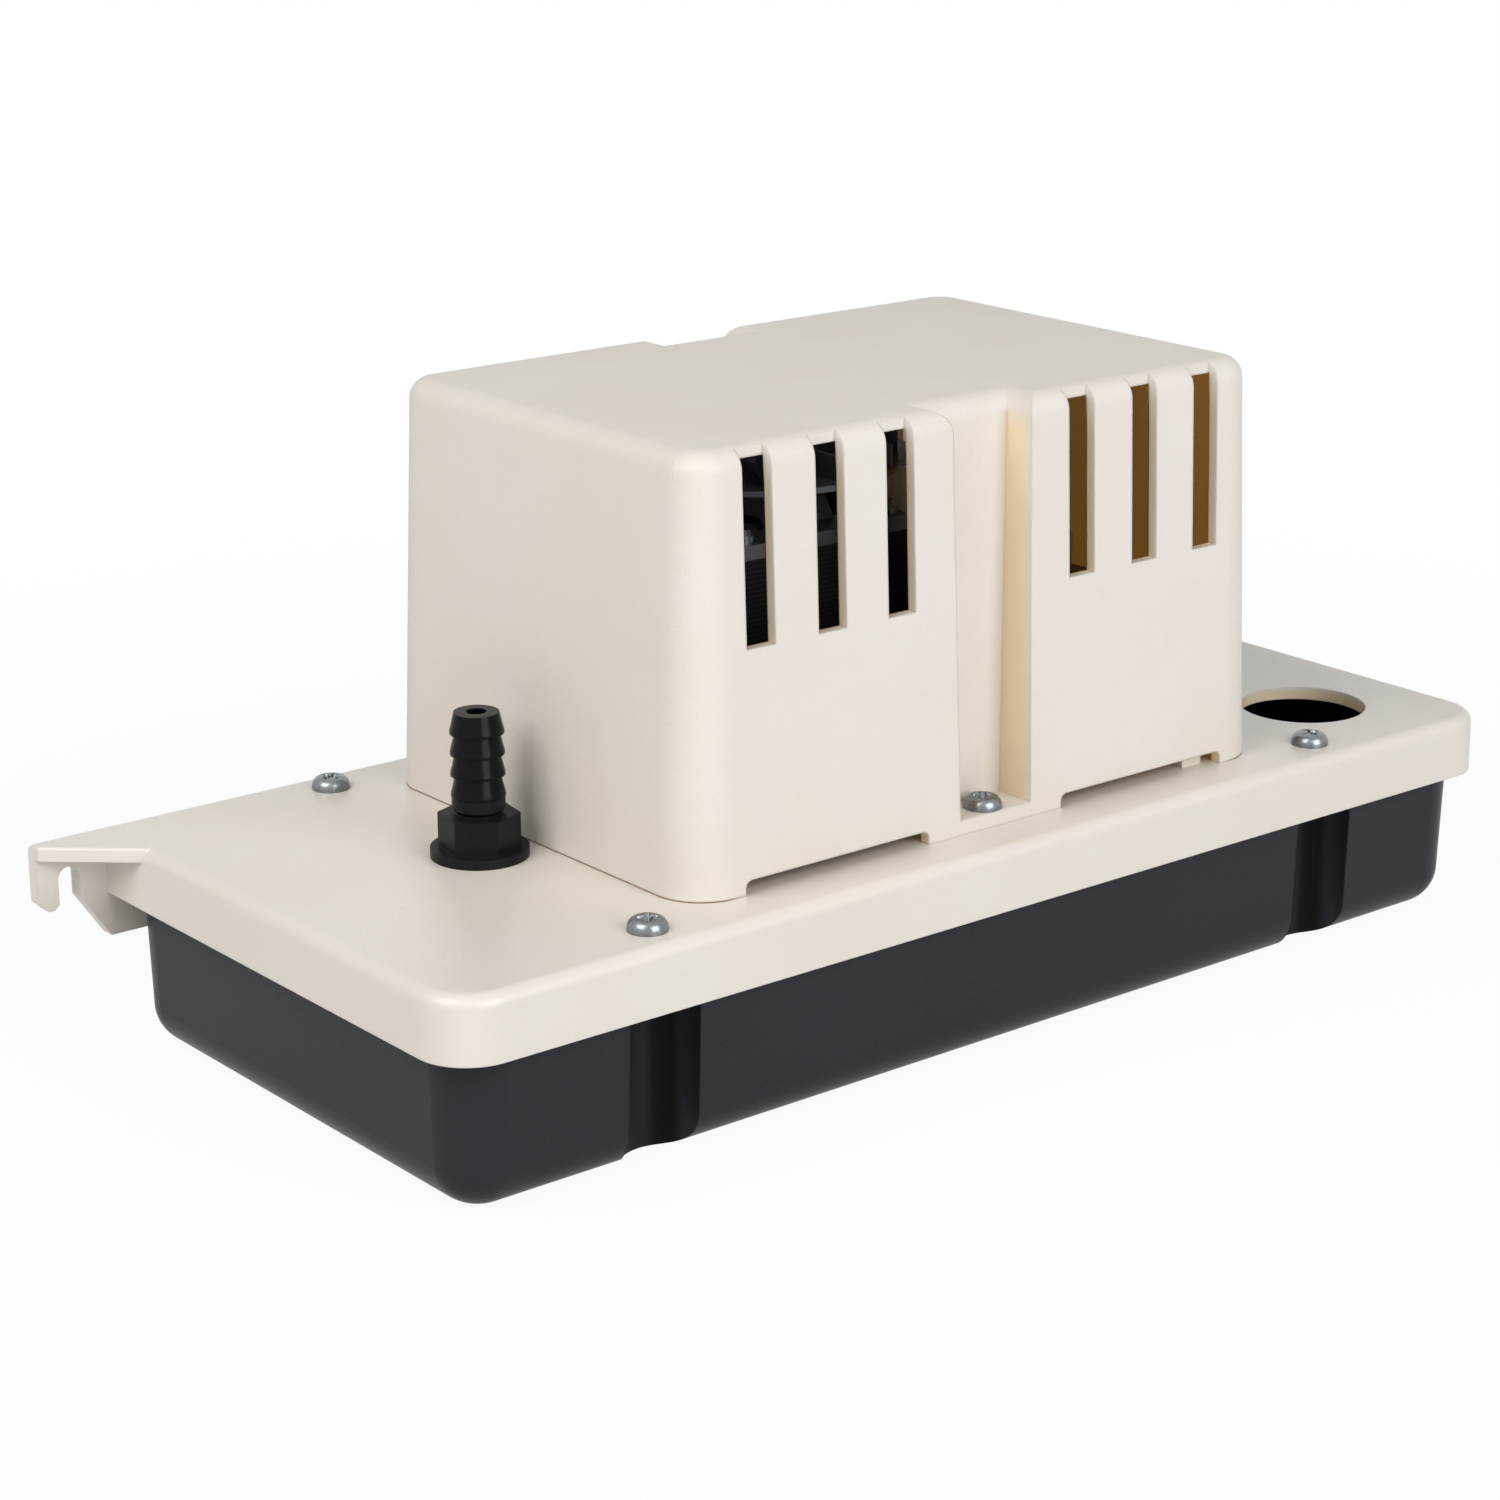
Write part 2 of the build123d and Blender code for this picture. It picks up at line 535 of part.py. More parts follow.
def valve_body():
    """Check-valve chamber screwed on the fitting's shank, with a seat and a hose spigot below."""
    top = TANK_HEIGHT - GASKET
    body = turned(
        (SPIGOT_BORE, VALVE_FLOOR - SPIGOT_LENGTH), (SPIGOT_RADIUS, VALVE_FLOOR - SPIGOT_LENGTH),
        (SPIGOT_RADIUS, VALVE_FLOOR), (VALVE_BODY_RADIUS, VALVE_FLOOR), (VALVE_BODY_RADIUS, top),
        (SHANK_RADIUS, top), (SHANK_RADIUS, STOP_Z), (CHAMBER_RADIUS, STOP_Z), (CHAMBER_RADIUS, SEAT_Z),
        (SEAT_BORE, SEAT_Z), (SEAT_BORE, VALVE_FLOOR), (SPIGOT_BORE, VALVE_FLOOR - 1.0),
    )
    return Pos(FITTING_X, 0, 0) * body


def check_ball():
    """Ball that lifts off its seat with the flow and drops back to hold the water in the hose."""
    return Pos(FITTING_X, 0, BALL_Z) * Sphere(BALL_RADIUS)


def valve_gasket():
    """Flat gasket between the deck and the valve body."""
    ring = rod(VALVE_BODY_RADIUS, GASKET) - rod(SHANK_RADIUS + SCREW_CLEARANCE, GASKET)
    return Pos(FITTING_X, 0, TANK_HEIGHT - GASKET) * ring


# Pump


def column_screw_places():
    """Three places on the flange circle of the pump column."""
    turns = [radians(90 + 120 * k) for k in range(3)]
    return [(MOTOR_X + COLUMN_SCREW_CIRCLE * cos(a), COLUMN_SCREW_CIRCLE * sin(a)) for a in turns]


def cover_screw_places():
    """Three places near the rim of the suction cover."""
    turns = [radians(30 + 120 * k) for k in range(3)]
    return [(MOTOR_X + COVER_SCREW_CIRCLE * cos(a), COVER_SCREW_CIRCLE * sin(a)) for a in turns]


def nozzle_frame():
    """Plane at the nozzle's start: z along the nozzle, which points at the fitting's axis."""
    span = MOTOR_X - FITTING_X
    turn = asin(NOZZLE_OFFSET / span)
    start = (MOTOR_X - NOZZLE_OFFSET * sin(turn), NOZZLE_OFFSET * cos(turn), NOZZLE_Z)
    return Plane(start, x_dir=(0, 0, 1), z_dir=(-cos(turn), -sin(turn), 0)), span * cos(turn)


def pump_casing():
    """Volute, its tangential nozzle and the column that hangs it under the deck, in one moulding."""
    frame, _ = nozzle_frame()
    body = rod(CASING_RADIUS, CASING_HEIGHT, MOTOR_X, 0, CASING_BASE)
    for x, y in cover_screw_places():
        body += rod(COVER_EAR, CASING_HEIGHT, x, y, CASING_BASE)
    body += frame * Cylinder(NOZZLE_RADIUS, NOZZLE_END, align=UP)
    body += frame * Cylinder(SPIGOT_RADIUS, NOZZLE_END + SPIGOT_LENGTH, align=UP)
    body += rod(COLUMN_RADIUS, TANK_HEIGHT - CASING_TOP, MOTOR_X, 0, CASING_TOP)
    body += rod(COLUMN_FLANGE_RADIUS, COLUMN_FLANGE, MOTOR_X, 0, TANK_HEIGHT - COLUMN_FLANGE)
    chamber = rod(CASING_RADIUS - CASING_WALL - VOLUTE_SHIFT, CASING_HEIGHT - CASING_WALL,
                  MOTOR_X, VOLUTE_SHIFT, CASING_BASE)
    body -= chamber
    body -= frame * Cylinder(SPIGOT_BORE, NOZZLE_END + SPIGOT_LENGTH, align=UP)
    body -= rod(COLUMN_RADIUS - COLUMN_WALL, TANK_HEIGHT - CASING_TOP, MOTOR_X, 0, CASING_TOP)
    body -= rod(SHAFT_RADIUS + AIR_GAP, CASING_HEIGHT, MOTOR_X, 0, CASING_BASE)
    window_height = TANK_HEIGHT - COLUMN_FLANGE - CASING_TOP - 2 * COLUMN_WALL
    window = block(3 * COLUMN_RADIUS, COLUMN_WINDOW, window_height, 0, 0, CASING_TOP + COLUMN_WALL)
    body -= Pos(MOTOR_X, 0, 0) * window
    for x, y in column_screw_places():
        body -= rod(SMALL_SCREW_RADIUS, COLUMN_FLANGE, x, y, TANK_HEIGHT - COLUMN_FLANGE)
    for x, y in cover_screw_places():
        body -= rod(SMALL_SCREW_RADIUS, CASING_HEIGHT - 2.0, x, y, CASING_BASE)
    return body


def suction_cover():
    """Plate under the volute with the suction eye and four feet that keep it off the floor."""
    body = rod(CASING_RADIUS, COVER_PLATE, MOTOR_X, 0, COVER_BASE)
    for x, y in cover_screw_places():
        body += rod(COVER_EAR, COVER_PLATE, x, y, COVER_BASE)
        body -= rod(SMALL_SCREW_RADIUS + SCREW_CLEARANCE, COVER_PLATE, x, y, COVER_BASE)
    body -= rod(SUCTION_RADIUS, COVER_PLATE, MOTOR_X, 0, COVER_BASE)
    foot = block(COVER_FOOT_LENGTH, COVER_FOOT_WIDTH, COVER_FOOT, COVER_FOOT_RADIUS, 0, FLOOR + REST_GAP)
    for k in range(4):
        body += Pos(MOTOR_X, 0, 0) * Rot(0, 0, 45 + 90 * k) * foot
    return body


def impeller():
    """Open impeller: a disc with backward-curved vanes under it, pressed on the shaft."""
    top = IMPELLER_BASE + IMPELLER_HEIGHT
    disc = rod(IMPELLER_RADIUS, IMPELLER_DISC, 0, 0, top - IMPELLER_DISC)
    disc += rod(SHAFT_RADIUS + 2.0, IMPELLER_HEIGHT, 0, 0, IMPELLER_BASE)
    inner, outer = SHAFT_RADIUS + 1.0, IMPELLER_RADIUS
    arc_radius = IMPELLER_RADIUS * 0.8
    ring = Circle(arc_radius) - Circle(arc_radius - 1.4)
    reach = Pos((inner + outer) / 2, outer / 2) * Rectangle(outer - inner, outer)
    vane = (Pos(0, arc_radius) * ring) & reach
    vane = extrude(vane & Circle(outer - 0.1), amount=IMPELLER_HEIGHT - IMPELLER_DISC)
    for k in range(IMPELLER_VANES):
        disc += Rot(0, 0, k * 360 / IMPELLER_VANES) * Pos(0, 0, IMPELLER_BASE) * vane
    disc -= rod(SHAFT_RADIUS, IMPELLER_HEIGHT, 0, 0, IMPELLER_BASE)
    return Pos(MOTOR_X, 0, 0) * disc


def discharge_tube():
    """Soft tube from the nozzle's spigot, bent up under the fitting, to the valve's spigot."""
    frame, run = nozzle_frame()
    bore = SPIGOT_RADIUS + TUBE_SLACK
    path_start = frame.origin + frame.z_dir * (NOZZLE_END + REST_GAP)
    bend_start = frame.origin + frame.z_dir * (run - TUBE_BEND)
    corner = Vector(FITTING_X, 0, NOZZLE_Z)
    bend_end = corner + Vector(0, 0, TUBE_BEND)
    top = Vector(FITTING_X, 0, VALVE_FLOOR - REST_GAP)
    bend = TangentArc(bend_start, bend_end, tangent=frame.z_dir)
    path = Line(path_start, bend_start) + bend + Line(bend_end, top)
    section = Plane(path_start, z_dir=frame.z_dir) * (Circle(bore + TUBE_WALL) - Circle(bore))
    return sweep(section, path=path)


def pump_screws():
    """Three screws down through the deck into the column's flange."""
    screw = plain_screw(SMALL_SCREW_RADIUS, SMALL_HEAD_RADIUS, SMALL_HEAD_HEIGHT, DECK_PLATE + COLUMN_FLANGE)
    return [Pos(x, y, DECK_TOP) * screw for x, y in column_screw_places()]


def cover_screws():
    """Three screws up through the suction cover into the volute."""
    length = COVER_PLATE + SCREW_BITE - 1.0
    screw = plain_screw(SMALL_SCREW_RADIUS, SMALL_HEAD_RADIUS, SMALL_HEAD_HEIGHT, length)
    return [Pos(x, y, COVER_BASE) * Rot(180, 0, 0) * screw for x, y in cover_screw_places()]


# Motor


def stator_stack():
    """Stack of laminations: a bored pole block, two arms and the limb that carries the coil."""
    middle = MOTOR_X - STACK_LEFT + STACK_LENGTH / 2
    stack = extrude(RectangleRounded(STACK_LENGTH, STACK_WIDTH, 2.0), amount=STACK_HEIGHT)
    stack = Pos(middle, 0, STACK_BASE) * stack
    window_x = LIMB_X - LIMB / 2 - WINDOW_LENGTH / 2
    stack -= block(WINDOW_LENGTH, WINDOW_WIDTH, STACK_HEIGHT, window_x, 0, STACK_BASE)
    stack -= rod(ROTOR_RADIUS + AIR_GAP, STACK_HEIGHT, MOTOR_X, 0, STACK_BASE)
    slot = SHADING_WIRE + 2 * SCREW_CLEARANCE
    for place in shading_places():
        for end in (-1, 1):
            leg = Pos(0, end * (SHADING_SPAN - SHADING_WIRE) / 2, STACK_BASE)
            stack -= place * leg * Box(2 * slot, slot, STACK_HEIGHT, align=UP)
    for x, y in four_corners(MOTOR_SCREW_X, MOTOR_SCREW_Y):
        stack -= rod(SCREW_RADIUS + SCREW_CLEARANCE, STACK_HEIGHT, MOTOR_X + x, y, STACK_BASE)
    return stack


def shading_places():
    """The two places on the bore, opposite each other, that a shading ring embraces."""
    return [Pos(MOTOR_X, 0, 0) * Rot(0, 0, SHADING_ANGLE + turn) * Pos(ROTOR_RADIUS + AIR_GAP, 0, 0)
            for turn in (0, 180)]


def shading_rings():
    """Two closed copper loops, each with its legs in two slots of the bore."""
    height = STACK_HEIGHT + 2 * (SHADING_WIRE + SCREW_CLEARANCE)
    window = Box(SHADING_WIRE, SHADING_SPAN - 2 * SHADING_WIRE, height - 2 * SHADING_WIRE)
    loop = Box(SHADING_WIRE, SHADING_SPAN, height) - window
    middle = Pos(SCREW_CLEARANCE + SHADING_WIRE / 2, 0, STACK_BASE + STACK_HEIGHT / 2)
    return [place * middle * loop for place in shading_places()]


def coil_bobbin():
    """Moulded bobbin: a square sleeve on the limb with a flange at each end."""
    inner_x, inner_z = LIMB + 2 * REST_GAP, STACK_HEIGHT + 2 * REST_GAP
    sleeve_x, sleeve_z = inner_x + 2 * BOBBIN_WALL, inner_z + 2 * BOBBIN_WALL
    length = WINDOW_WIDTH - 2 * REST_GAP
    flange = Box(sleeve_x + 2 * COIL_DEPTH, BOBBIN_FLANGE, sleeve_z + 2 * COIL_DEPTH)
    body = Box(sleeve_x, length, sleeve_z)
    for side in (-1, 1):
        body += Pos(0, side * (length - BOBBIN_FLANGE) / 2, 0) * flange
    body -= Box(inner_x, length, inner_z)
    return Pos(LIMB_X, 0, STACK_BASE + STACK_HEIGHT / 2) * body


def coil_winding():
    """Winding in its tape, between the bobbin's flanges."""
    inner_x, inner_z = LIMB + 2 * (REST_GAP + BOBBIN_WALL), STACK_HEIGHT + 2 * (REST_GAP + BOBBIN_WALL)
    depth = COIL_DEPTH - 1.0
    length = WINDOW_WIDTH - 2 * (REST_GAP + BOBBIN_FLANGE)
    ring = RectangleRounded(inner_x + 2 * depth, inner_z + 2 * depth, 4.0) - Rectangle(inner_x, inner_z)
    solid = extrude(Plane.XZ * ring, amount=length / 2, both=True)
    return Pos(LIMB_X, 0, STACK_BASE + STACK_HEIGHT / 2) * solid


def bearing_bracket(hub_drop):
    """Cast bridge over the rotor, standing on z = 0: two foot bars, an arch and a bearing holder."""
    half = STACK_WIDTH / 2
    foot_in = MOTOR_SCREW_Y - 4.0
    arch_in = foot_in - 2.5
    arch_top = BRACKET_ARCH + BRACKET_PLATE
    outline = Plane.YZ * Polyline(
        (-half, 0), (-half, BRACKET_PLATE), (-foot_in - 1.5, BRACKET_PLATE), (-arch_in - 1.0, arch_top),
        (arch_in + 1.0, arch_top), (foot_in + 1.5, BRACKET_PLATE), (half, BRACKET_PLATE), (half, 0),
        (foot_in, 0), (arch_in, BRACKET_ARCH), (-arch_in, BRACKET_ARCH), (-foot_in, 0), close=True)
    body = extrude(make_face(outline), amount=BRACKET_WIDTH / 2, both=True)
    for side in (-1, 1):
        foot_width = half - foot_in
        body += block(2 * (STACK_LEFT - 1.0), foot_width, BRACKET_PLATE, 0, side * (half - foot_width / 2))
    body += rod(BEARING_RADIUS + BEARING_HOLDER, BEARING_LENGTH, 0, 0, BRACKET_ARCH)
    body -= rod(BEARING_RADIUS, hub_drop, 0, 0, BRACKET_ARCH)
    for x, y in four_corners(MOTOR_SCREW_X, MOTOR_SCREW_Y):
        body -= rod(SCREW_RADIUS + SCREW_CLEARANCE, BRACKET_PLATE, x, y)
    return body


def upper_bracket():
    """Bracket on top of the stack."""
    return Pos(MOTOR_X, 0, STACK_TOP) * bearing_bracket(BEARING_LENGTH)


def lower_bracket():
    """The same casting, upside down under the stack, resting on the deck's posts."""
    return Pos(MOTOR_X, 0, STACK_BASE) * Rot(180, 0, 0) * bearing_bracket(BEARING_LENGTH)


def bearing(z):
    """Sintered bush."""
    bush = rod(BEARING_RADIUS, BEARING_LENGTH) - rod(SHAFT_RADIUS + SHAFT_FIT, BEARING_LENGTH)
    return Pos(MOTOR_X, 0, z) * bush


def upper_bearing():
    """Bush in the upper bracket."""
    return bearing(UPPER_HUB_BASE)


def lower_bearing():
    """Bush in the lower bracket."""
    return bearing(LOWER_HUB_TOP - BEARING_LENGTH)


def motor_screws():
    """Four long screws through both brackets and the stack into the deck's posts."""
    length = STACK_HEIGHT + 2 * BRACKET_PLATE + SCREW_BITE - 1.0
    screw = plain_screw(SCREW_RADIUS, SCREW_HEAD_RADIUS - 0.5, SCREW_HEAD_HEIGHT, length)
    top = STACK_TOP + BRACKET_PLATE
    return [Pos(MOTOR_X + x, y, top) * screw for x, y in four_corners(MOTOR_SCREW_X, MOTOR_SCREW_Y)]


def motor_shaft():
    """Shaft from the impeller through both bearings to the fan."""
    length = SHAFT_TOP - IMPELLER_BASE
    return Pos(MOTOR_X, 0, IMPELLER_BASE) * chamfer(
        rod(SHAFT_RADIUS, length).edges().group_by(Axis.Z)[-1], 0.5)


def rotor_core():
    """Squirrel-cage rotor: the laminated drum and the rings cast on both its ends."""
    body = rod(ROTOR_RADIUS, STACK_HEIGHT, MOTOR_X, 0, STACK_BASE)
    body += rod(END_RING_RADIUS, STACK_HEIGHT + 2 * END_RING, MOTOR_X, 0, STACK_BASE - END_RING)
    return body - rod(SHAFT_RADIUS, STACK_HEIGHT + 2 * END_RING, MOTOR_X, 0, STACK_BASE - END_RING)


def thrust_washers():
    """Two washers on the shaft, between the rotor's end rings and the bearings."""
    places = (STACK_TOP + END_RING + WASHER_GAP, STACK_BASE - END_RING - WASHER_GAP - WASHER)
    washer = rod(BEARING_RADIUS, WASHER) - rod(SHAFT_RADIUS, WASHER)
    return [Pos(MOTOR_X, 0, z) * washer for z in places]


def cooling_fan():
    """Moulded fan: a disc with upright radial vanes round a hub on the shaft's top."""
    body = rod(FAN_RADIUS, FAN_DISC) + rod(SHAFT_RADIUS + 3.0, FAN_HEIGHT)
    vane_length = FAN_RADIUS - FAN_VANE_START
    vane = block(vane_length, FAN_DISC, FAN_HEIGHT, FAN_VANE_START + vane_length / 2 - 0.3)
    for k in range(FAN_VANES):
        body += Rot(0, 0, k * 360 / FAN_VANES) * vane
    body -= rod(SHAFT_RADIUS, FAN_HEIGHT)
    return Pos(MOTOR_X, 0, FAN_BASE) * body


def water_slinger():
    """Rubber disc on the shaft above the deck's collar, which throws off creeping water."""
    z = DECK_TOP + COLLAR_HEIGHT + SLINGER_THICKNESS
    disc = rod(SLINGER_RADIUS, SLINGER_THICKNESS) - rod(SHAFT_RADIUS, SLINGER_THICKNESS)
    return Pos(MOTOR_X, 0, z) * disc


# Float and switch gear


def float_pin():
    """Pin across the deck's two lugs."""
    length = LUG_GAP + 2 * LUG_THICKNESS
    return Pos(PIVOT_X, 0, PIVOT_Z) * Rot(90, 0, 0) * Cylinder(PIN_RADIUS, length)


def arm_height(x):
    """Middle height of the sloping arm above a place along X."""
    return PIVOT_Z - (x - PIVOT_X) * tan(radians(ARM_SLOPE))


def float_arm():
    """Arm from the pin down to the float: a hub, a sloping bar, a pad and a peg into the float."""
    half = ARM_THICKNESS / 2 / cos(radians(ARM_SLOPE))
    bar_end = FLOAT_START_X + FLOAT_LENGTH / 4
    pad_end = FLOAT_START_X + 3 * FLOAT_LENGTH / 4
    pad_top = FLOAT_TOP + ARM_THICKNESS / 2
    body = side_profile([
        (PIVOT_X, PIVOT_Z - half), (PIVOT_X, PIVOT_Z + half), (bar_end, arm_height(bar_end) + half),
        (bar_end + 2.0, pad_top), (pad_end, pad_top), (pad_end, FLOAT_TOP), (bar_end - 4.0, FLOAT_TOP),
    ], ARM_WIDTH)
    hub_length = LUG_GAP - 2 * REST_GAP
    hub = Pos(PIVOT_X, 0, PIVOT_Z) * Rot(90, 0, 0)
    body += hub * Cylinder(PIN_RADIUS + 2.4, hub_length)
    body -= hub * Cylinder(PIN_RADIUS + PIN_FIT, hub_length)
    peg_x = (bar_end + pad_end) / 2
    return body + rod(PEG_RADIUS, ARM_THICKNESS, peg_x, 0, FLOAT_TOP - ARM_THICKNESS)


def float_block():
    """Float: a rounded block with the socket for the arm's peg."""
    middle = FLOAT_START_X + FLOAT_LENGTH / 2
    body = extrude(RectangleRounded(FLOAT_LENGTH, FLOAT_WIDTH, 6.0), amount=FLOAT_HEIGHT)
    body = fillet(body.edges().group_by(Axis.Z)[0], FLOAT_ROUND)
    body = Pos(middle, 0, FLOAT_TOP - FLOAT_HEIGHT) * body
    return body - rod(PEG_RADIUS, ARM_THICKNESS, middle, 0, FLOAT_TOP - ARM_THICKNESS)


def switch_rod():
    """Push rod that stands on the float arm, passes the deck and lifts both switch levers."""
    foot = ARM_TOP_AT_ROD + REST_GAP
    bar_top = lever_height(ROD_X) - LEVER_THICKNESS / 2 / cos(radians(LEVER_SLOPE)) - REST_GAP
    body = rod(ROD_RADIUS, bar_top - foot, ROD_X, 0, foot)
    body = chamfer(body.edges().group_by(Axis.Z)[0], ROD_RADIUS * 0.6)
    bar = Pos(ROD_X, 0, bar_top - ROD_RADIUS) * Rot(90, 0, 0) * Cylinder(ROD_RADIUS, ROD_BAR)
    return body + bar


def bracket_screw_place(side):
    """Place of a switch bracket screw."""
    return (BRACKET_LEFT + BRACKET_RIGHT) / 2, BRACKET_SCREW_Y * side


def switch_bracket():
    """Bent plate on the deck that stands between the two switches."""
    middle = (BRACKET_LEFT + BRACKET_RIGHT) / 2
    foot_width = 2 * (BRACKET_SCREW_Y + BRACKET_FOOT_EDGE)
    foot = block(BRACKET_RIGHT - BRACKET_LEFT, foot_width, SWITCH_PLATE, middle, 0, DECK_TOP)
    left = SWITCH_X - SWITCH_LENGTH / 2
    top = SWITCH_BASE + SWITCH_HEIGHT
    plate = side_profile([
        (BRACKET_LEFT, DECK_TOP), (BRACKET_LEFT, SWITCH_BASE), (left, SWITCH_BASE), (left, top),
        (BRACKET_RIGHT, top), (BRACKET_RIGHT, DECK_TOP),
    ], SWITCH_PLATE)
    body = foot + plate
    for side in (-1, 1):
        x, y = bracket_screw_place(side)
        body -= rod(SMALL_SCREW_RADIUS + SCREW_CLEARANCE, SWITCH_PLATE, x, y, DECK_TOP)
        hole = Pos(SWITCH_X + side * SWITCH_HOLE_SPACING / 2, 0, SWITCH_SCREW_Z) * Rot(90, 0, 0)
        body -= hole * Cylinder(SMALL_SCREW_RADIUS, SWITCH_PLATE)
    return body


def bracket_screws():
    """Two screws that hold the switch bracket to the deck."""
    screw = plain_screw(SMALL_SCREW_RADIUS, SMALL_HEAD_RADIUS, SMALL_HEAD_HEIGHT, SWITCH_PLATE + DECK_PLATE)
    return [Pos(*bracket_screw_place(side), DECK_TOP + SWITCH_PLATE) * screw for side in (-1, 1)]


def lever_height(x):
    """Middle height of a resting switch lever above a place along X."""
    return HINGE_Z - (HINGE_X - x) * tan(radians(LEVER_SLOPE))


def snap_switch(side):
    """Switch case with its screw holes, plunger bore and the notch of its lever."""
    y = side * SWITCH_Y
    body = block(SWITCH_LENGTH, SWITCH_WIDTH, SWITCH_HEIGHT, SWITCH_X, y, SWITCH_BASE)
    body = chamfer(body.edges().filter_by(Axis.Y), 0.8)
    for end in (-1, 1):
        hole = Pos(SWITCH_X + end * SWITCH_HOLE_SPACING / 2, y, SWITCH_SCREW_Z) * Rot(90, 0, 0)
        body -= hole * Cylinder(SMALL_SCREW_RADIUS, SWITCH_WIDTH)
    plunger_x = HINGE_X - PLUNGER_ARM
    body -= rod(PLUNGER_RADIUS + SHAFT_FIT, PLUNGER_BORE, plunger_x, y, SWITCH_BASE)
    cheek = 2 * LEVER_HINGE_DROP
    body += block(2 * KNUCKLE_RADIUS, SWITCH_WIDTH, cheek, HINGE_X, y, SWITCH_BASE - cheek)
    notch = LEVER_WIDTH + 2 * REST_GAP
    body -= block(2 * (KNUCKLE_RADIUS + REST_GAP), notch, 3 * LEVER_HINGE_DROP, HINGE_X, y,
                  HINGE_Z - 1.5 * LEVER_HINGE_DROP)
    pivot = Pos(HINGE_X, y, HINGE_Z) * Rot(90, 0, 0)
    return body + pivot * Cylinder(LEVER_PIN, SWITCH_WIDTH)


def switch_lever(side):
    """Sheet lever that hangs on the switch's pin and rests over the push rod's bar."""
    y = side * SWITCH_Y
    strip = Box(LEVER_LENGTH, LEVER_WIDTH, LEVER_THICKNESS, align=(Align.MAX, Align.CENTER, Align.CENTER))
    pivot = Pos(HINGE_X, y, HINGE_Z)
    knuckle = pivot * Rot(90, 0, 0)
    body = pivot * Rot(0, -LEVER_SLOPE, 0) * strip + knuckle * Cylinder(KNUCKLE_RADIUS, LEVER_WIDTH)
    return body - knuckle * Cylinder(LEVER_PIN + SHAFT_FIT, LEVER_WIDTH)


def switch_button(side):
    """Plunger between the lever and the switch's contacts."""
    x = HINGE_X - PLUNGER_ARM
    tip = lever_height(x) + LEVER_THICKNESS / 2 / cos(radians(LEVER_SLOPE)) + REST_GAP
    top = SWITCH_BASE + PLUNGER_BORE - PLUNGER_TRAVEL - REST_GAP
    return rod(PLUNGER_RADIUS, top - tip, x, side * SWITCH_Y, tip)


def switch_terminals():
    """Three push-on blades on top of each switch."""
    blades = []
    for side in (-1, 1):
        for k in (-1, 0, 1):
            x = SWITCH_X + k * SWITCH_LENGTH / 3.2
            blades.append(block(BLADE_WIDTH, BLADE_THICKNESS, BLADE_HEIGHT, x, side * SWITCH_Y,
                                SWITCH_BASE + SWITCH_HEIGHT))
    return blades


def switch_screws():
    """Two screws through both switches and the plate between them."""
    length = 2 * SWITCH_WIDTH + SWITCH_PLATE
    screw = plain_screw(SMALL_SCREW_RADIUS, SMALL_HEAD_RADIUS, SMALL_HEAD_HEIGHT, length)
    front = -(SWITCH_PLATE / 2 + SWITCH_WIDTH)
    return [Pos(SWITCH_X + end * SWITCH_HOLE_SPACING / 2, front, SWITCH_SCREW_Z) * Rot(90, 0, 0) * screw
            for end in (-1, 1)]


NODES = {
    "tank": tank, "deck": deck, "motor_housing": motor_housing, "deck_screws": deck_screws,
    "housing_screws": housing_screws, "outlet_fitting": outlet_fitting, "valve_gasket": valve_gasket,
    "valve_body": valve_body, "check_ball": check_ball, "pump_casing": pump_casing,
    "suction_cover": suction_cover, "impeller": impeller, "discharge_tube": discharge_tube,
    "pump_screws": pump_screws, "cover_screws": cover_screws, "stator_stack": stator_stack,
    "shading_rings": shading_rings, "coil_bobbin": coil_bobbin, "coil_winding": coil_winding,
    "upper_bracket": upper_bracket, "lower_bracket": lower_bracket, "upper_bearing": upper_bearing,
    "lower_bearing": lower_bearing, "motor_screws": motor_screws, "motor_shaft": motor_shaft,
    "rotor_core": rotor_core, "thrust_washers": thrust_washers, "cooling_fan": cooling_fan,
    "water_slinger": water_slinger, "float_pin": float_pin, "float_arm": float_arm,
    "float_block": float_block, "switch_rod": switch_rod, "switch_bracket": switch_bracket,
    "bracket_screws": bracket_screws, "switch_terminals": switch_terminals, "switch_screws": switch_screws,
}
PAIRED_NODES = {"switch": snap_switch, "lever": switch_lever, "button": switch_button}
SWITCH_SIDES = {"run": -1, "safety": 1}

os.makedirs("parts", exist_ok=True)


def write(name, shape):
    """Write a node, where a list of solids becomes one compound."""
    solids = shape if isinstance(shape, list) else shape.solids()
    export_step(solids[0] if len(solids) == 1 else Compound(children=list(solids)), f"parts/{name}.step")


for name, make in NODES.items():
    write(name, make())
for duty, side in SWITCH_SIDES.items():
    for name, make in PAIRED_NODES.items():
        write(f"{duty}_{name}", make(side))
